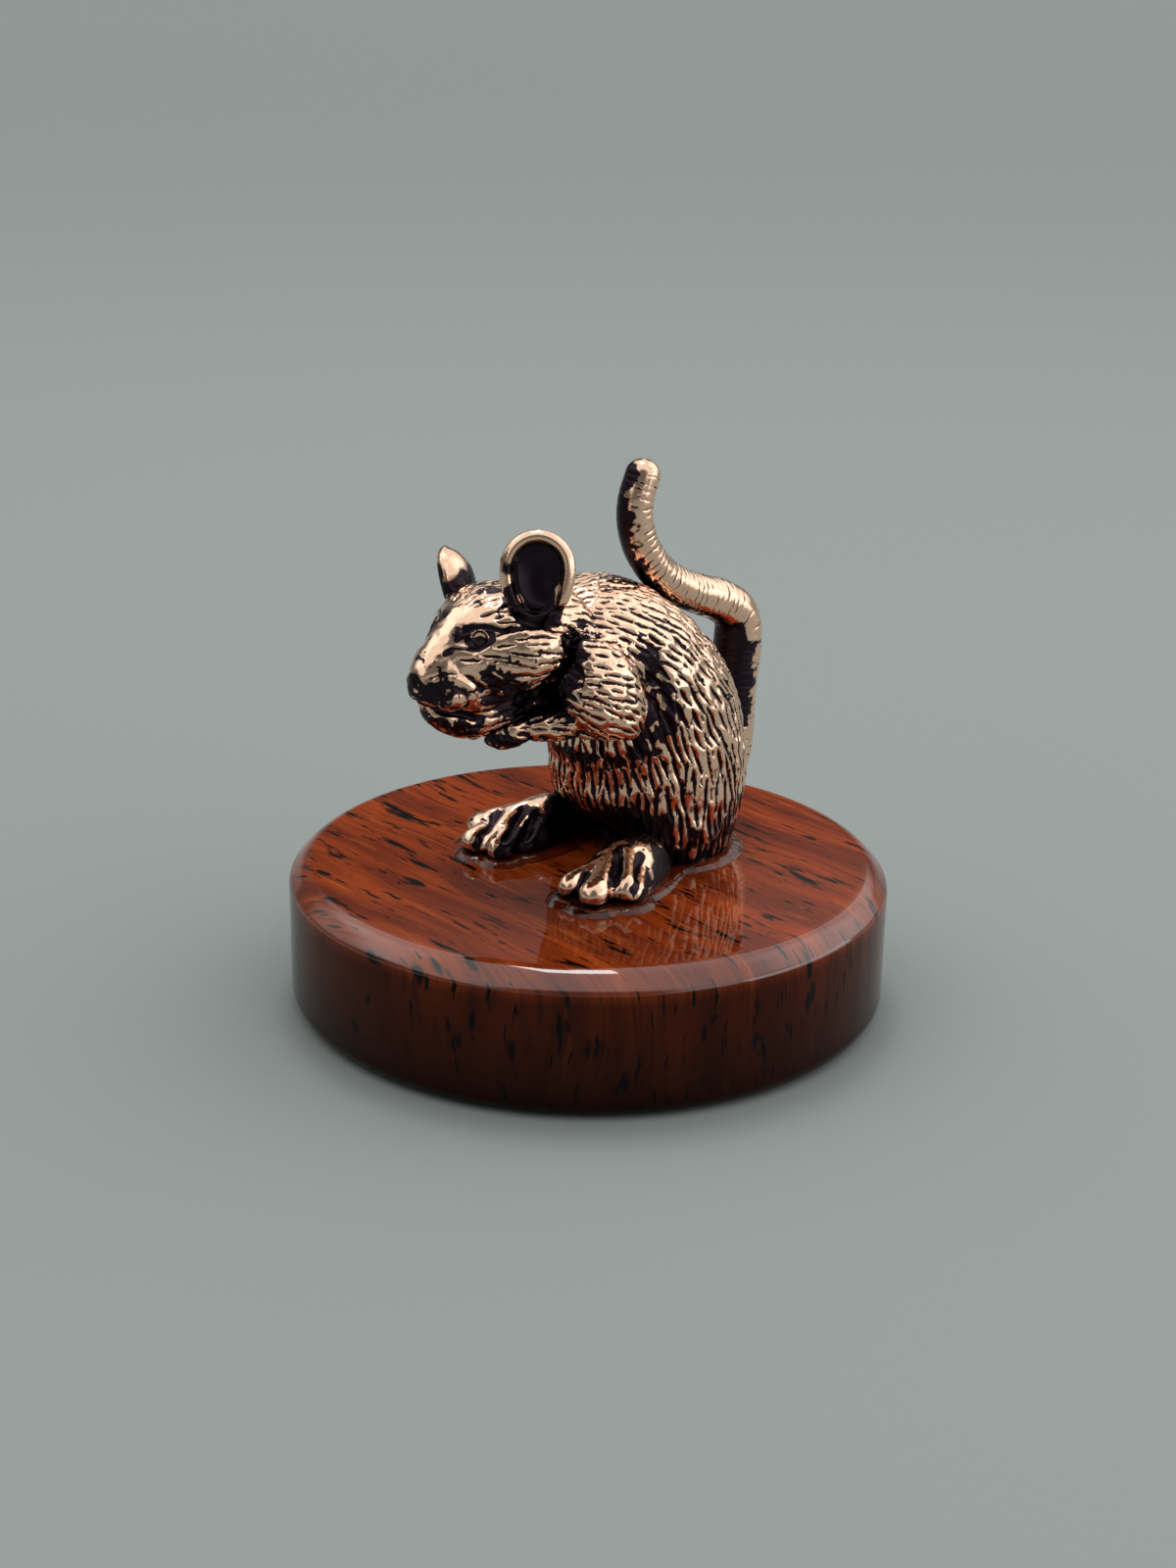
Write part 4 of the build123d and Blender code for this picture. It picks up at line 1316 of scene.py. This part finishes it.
glow = dome_ramp(from_object(DOME_RISE, DOME_TURN), DOME_EDGE, DOME_LEVELS)
card = dome_ramp(from_object(CARD_RISE, 0), CARD_EDGE, CARD_LEVELS)
level = add("ShaderNodeMath", (glow, card), operation="MULTIPLY")
for turn in (-WINDOW_TURN, WINDOW_TURN):
    window = dome_ramp(from_object(WINDOW_RISE, turn), WINDOW_EDGE, WINDOW_LEVELS)
    level = add("ShaderNodeMath", (level, window), operation="ADD")
sky = add("ShaderNodeBackground", {"Color": linear("#FBFFFD"), "Strength": level})
# Above the floor's far edge the lens, the metal and the glass see a plain backdrop in the floor's grey.
backdrop = add("ShaderNodeBackground", {"Color": linear("#8C9390")})
rays = add("ShaderNodeLightPath").outputs
seen = rays["Is Camera Ray"]
for kind in ("Is Glossy Ray", "Is Transmission Ray"):
    seen = add("ShaderNodeMath", (seen, rays[kind]), operation="ADD", use_clamp=True)
horizon = dome_ramp(tuple(upright), BACKDROP_EDGE, BACKDROP_LEVELS)
seen = add("ShaderNodeMath", (seen, horizon), operation="MULTIPLY")
sky = add("ShaderNodeMixShader", (seen, sky, backdrop))
add("ShaderNodeOutputWorld", (sky,))

# Two soft lamps: a small one high behind, for bright lines on the bevel and the bronze, and one low on the
# right. Each: rise and turn in degrees, distance, width and height in metres, and watts.
lamps = {
    "high_lamp": (74, -172, 0.55, 0.12, 0.20, 0.52),
    "right_lamp": (12, 84, 0.42, 0.40, 0.16, 0.22),
}
for label, (rise, turn, reach, wide, tall, watts) in lamps.items():
    light = bpy.data.lights.new(label, "AREA")
    light.shape = "RECTANGLE"
    light.size, light.size_y = wide, tall
    light.energy = watts
    lamp = bpy.data.objects.new(label, light)
    way = Vector(from_object(math.radians(rise), math.radians(turn)))
    lamp.matrix_world = Matrix.Translation(reach * way) @ way.to_track_quat("Z", "Y").to_matrix().to_4x4()
    bpy.context.scene.collection.objects.link(lamp)

lens = bpy.data.cameras.new("photo_camera")
lens.sensor_width = SENSOR_MM
lens.lens = FOCAL_PIXELS * SENSOR_MM / PHOTO_HEIGHT
lens.clip_start = 0.01
camera = bpy.data.objects.new("photo_camera", lens)
stand = Matrix([[*row] for row in np.stack([view_right, view_up, view_back], 1)]).to_4x4()
camera.matrix_world = Matrix.Translation(Vector(lens_place * MM)) @ stand
bpy.context.scene.collection.objects.link(camera)
bpy.context.scene.camera = camera
bpy.context.scene.view_settings.view_transform = "Standard"
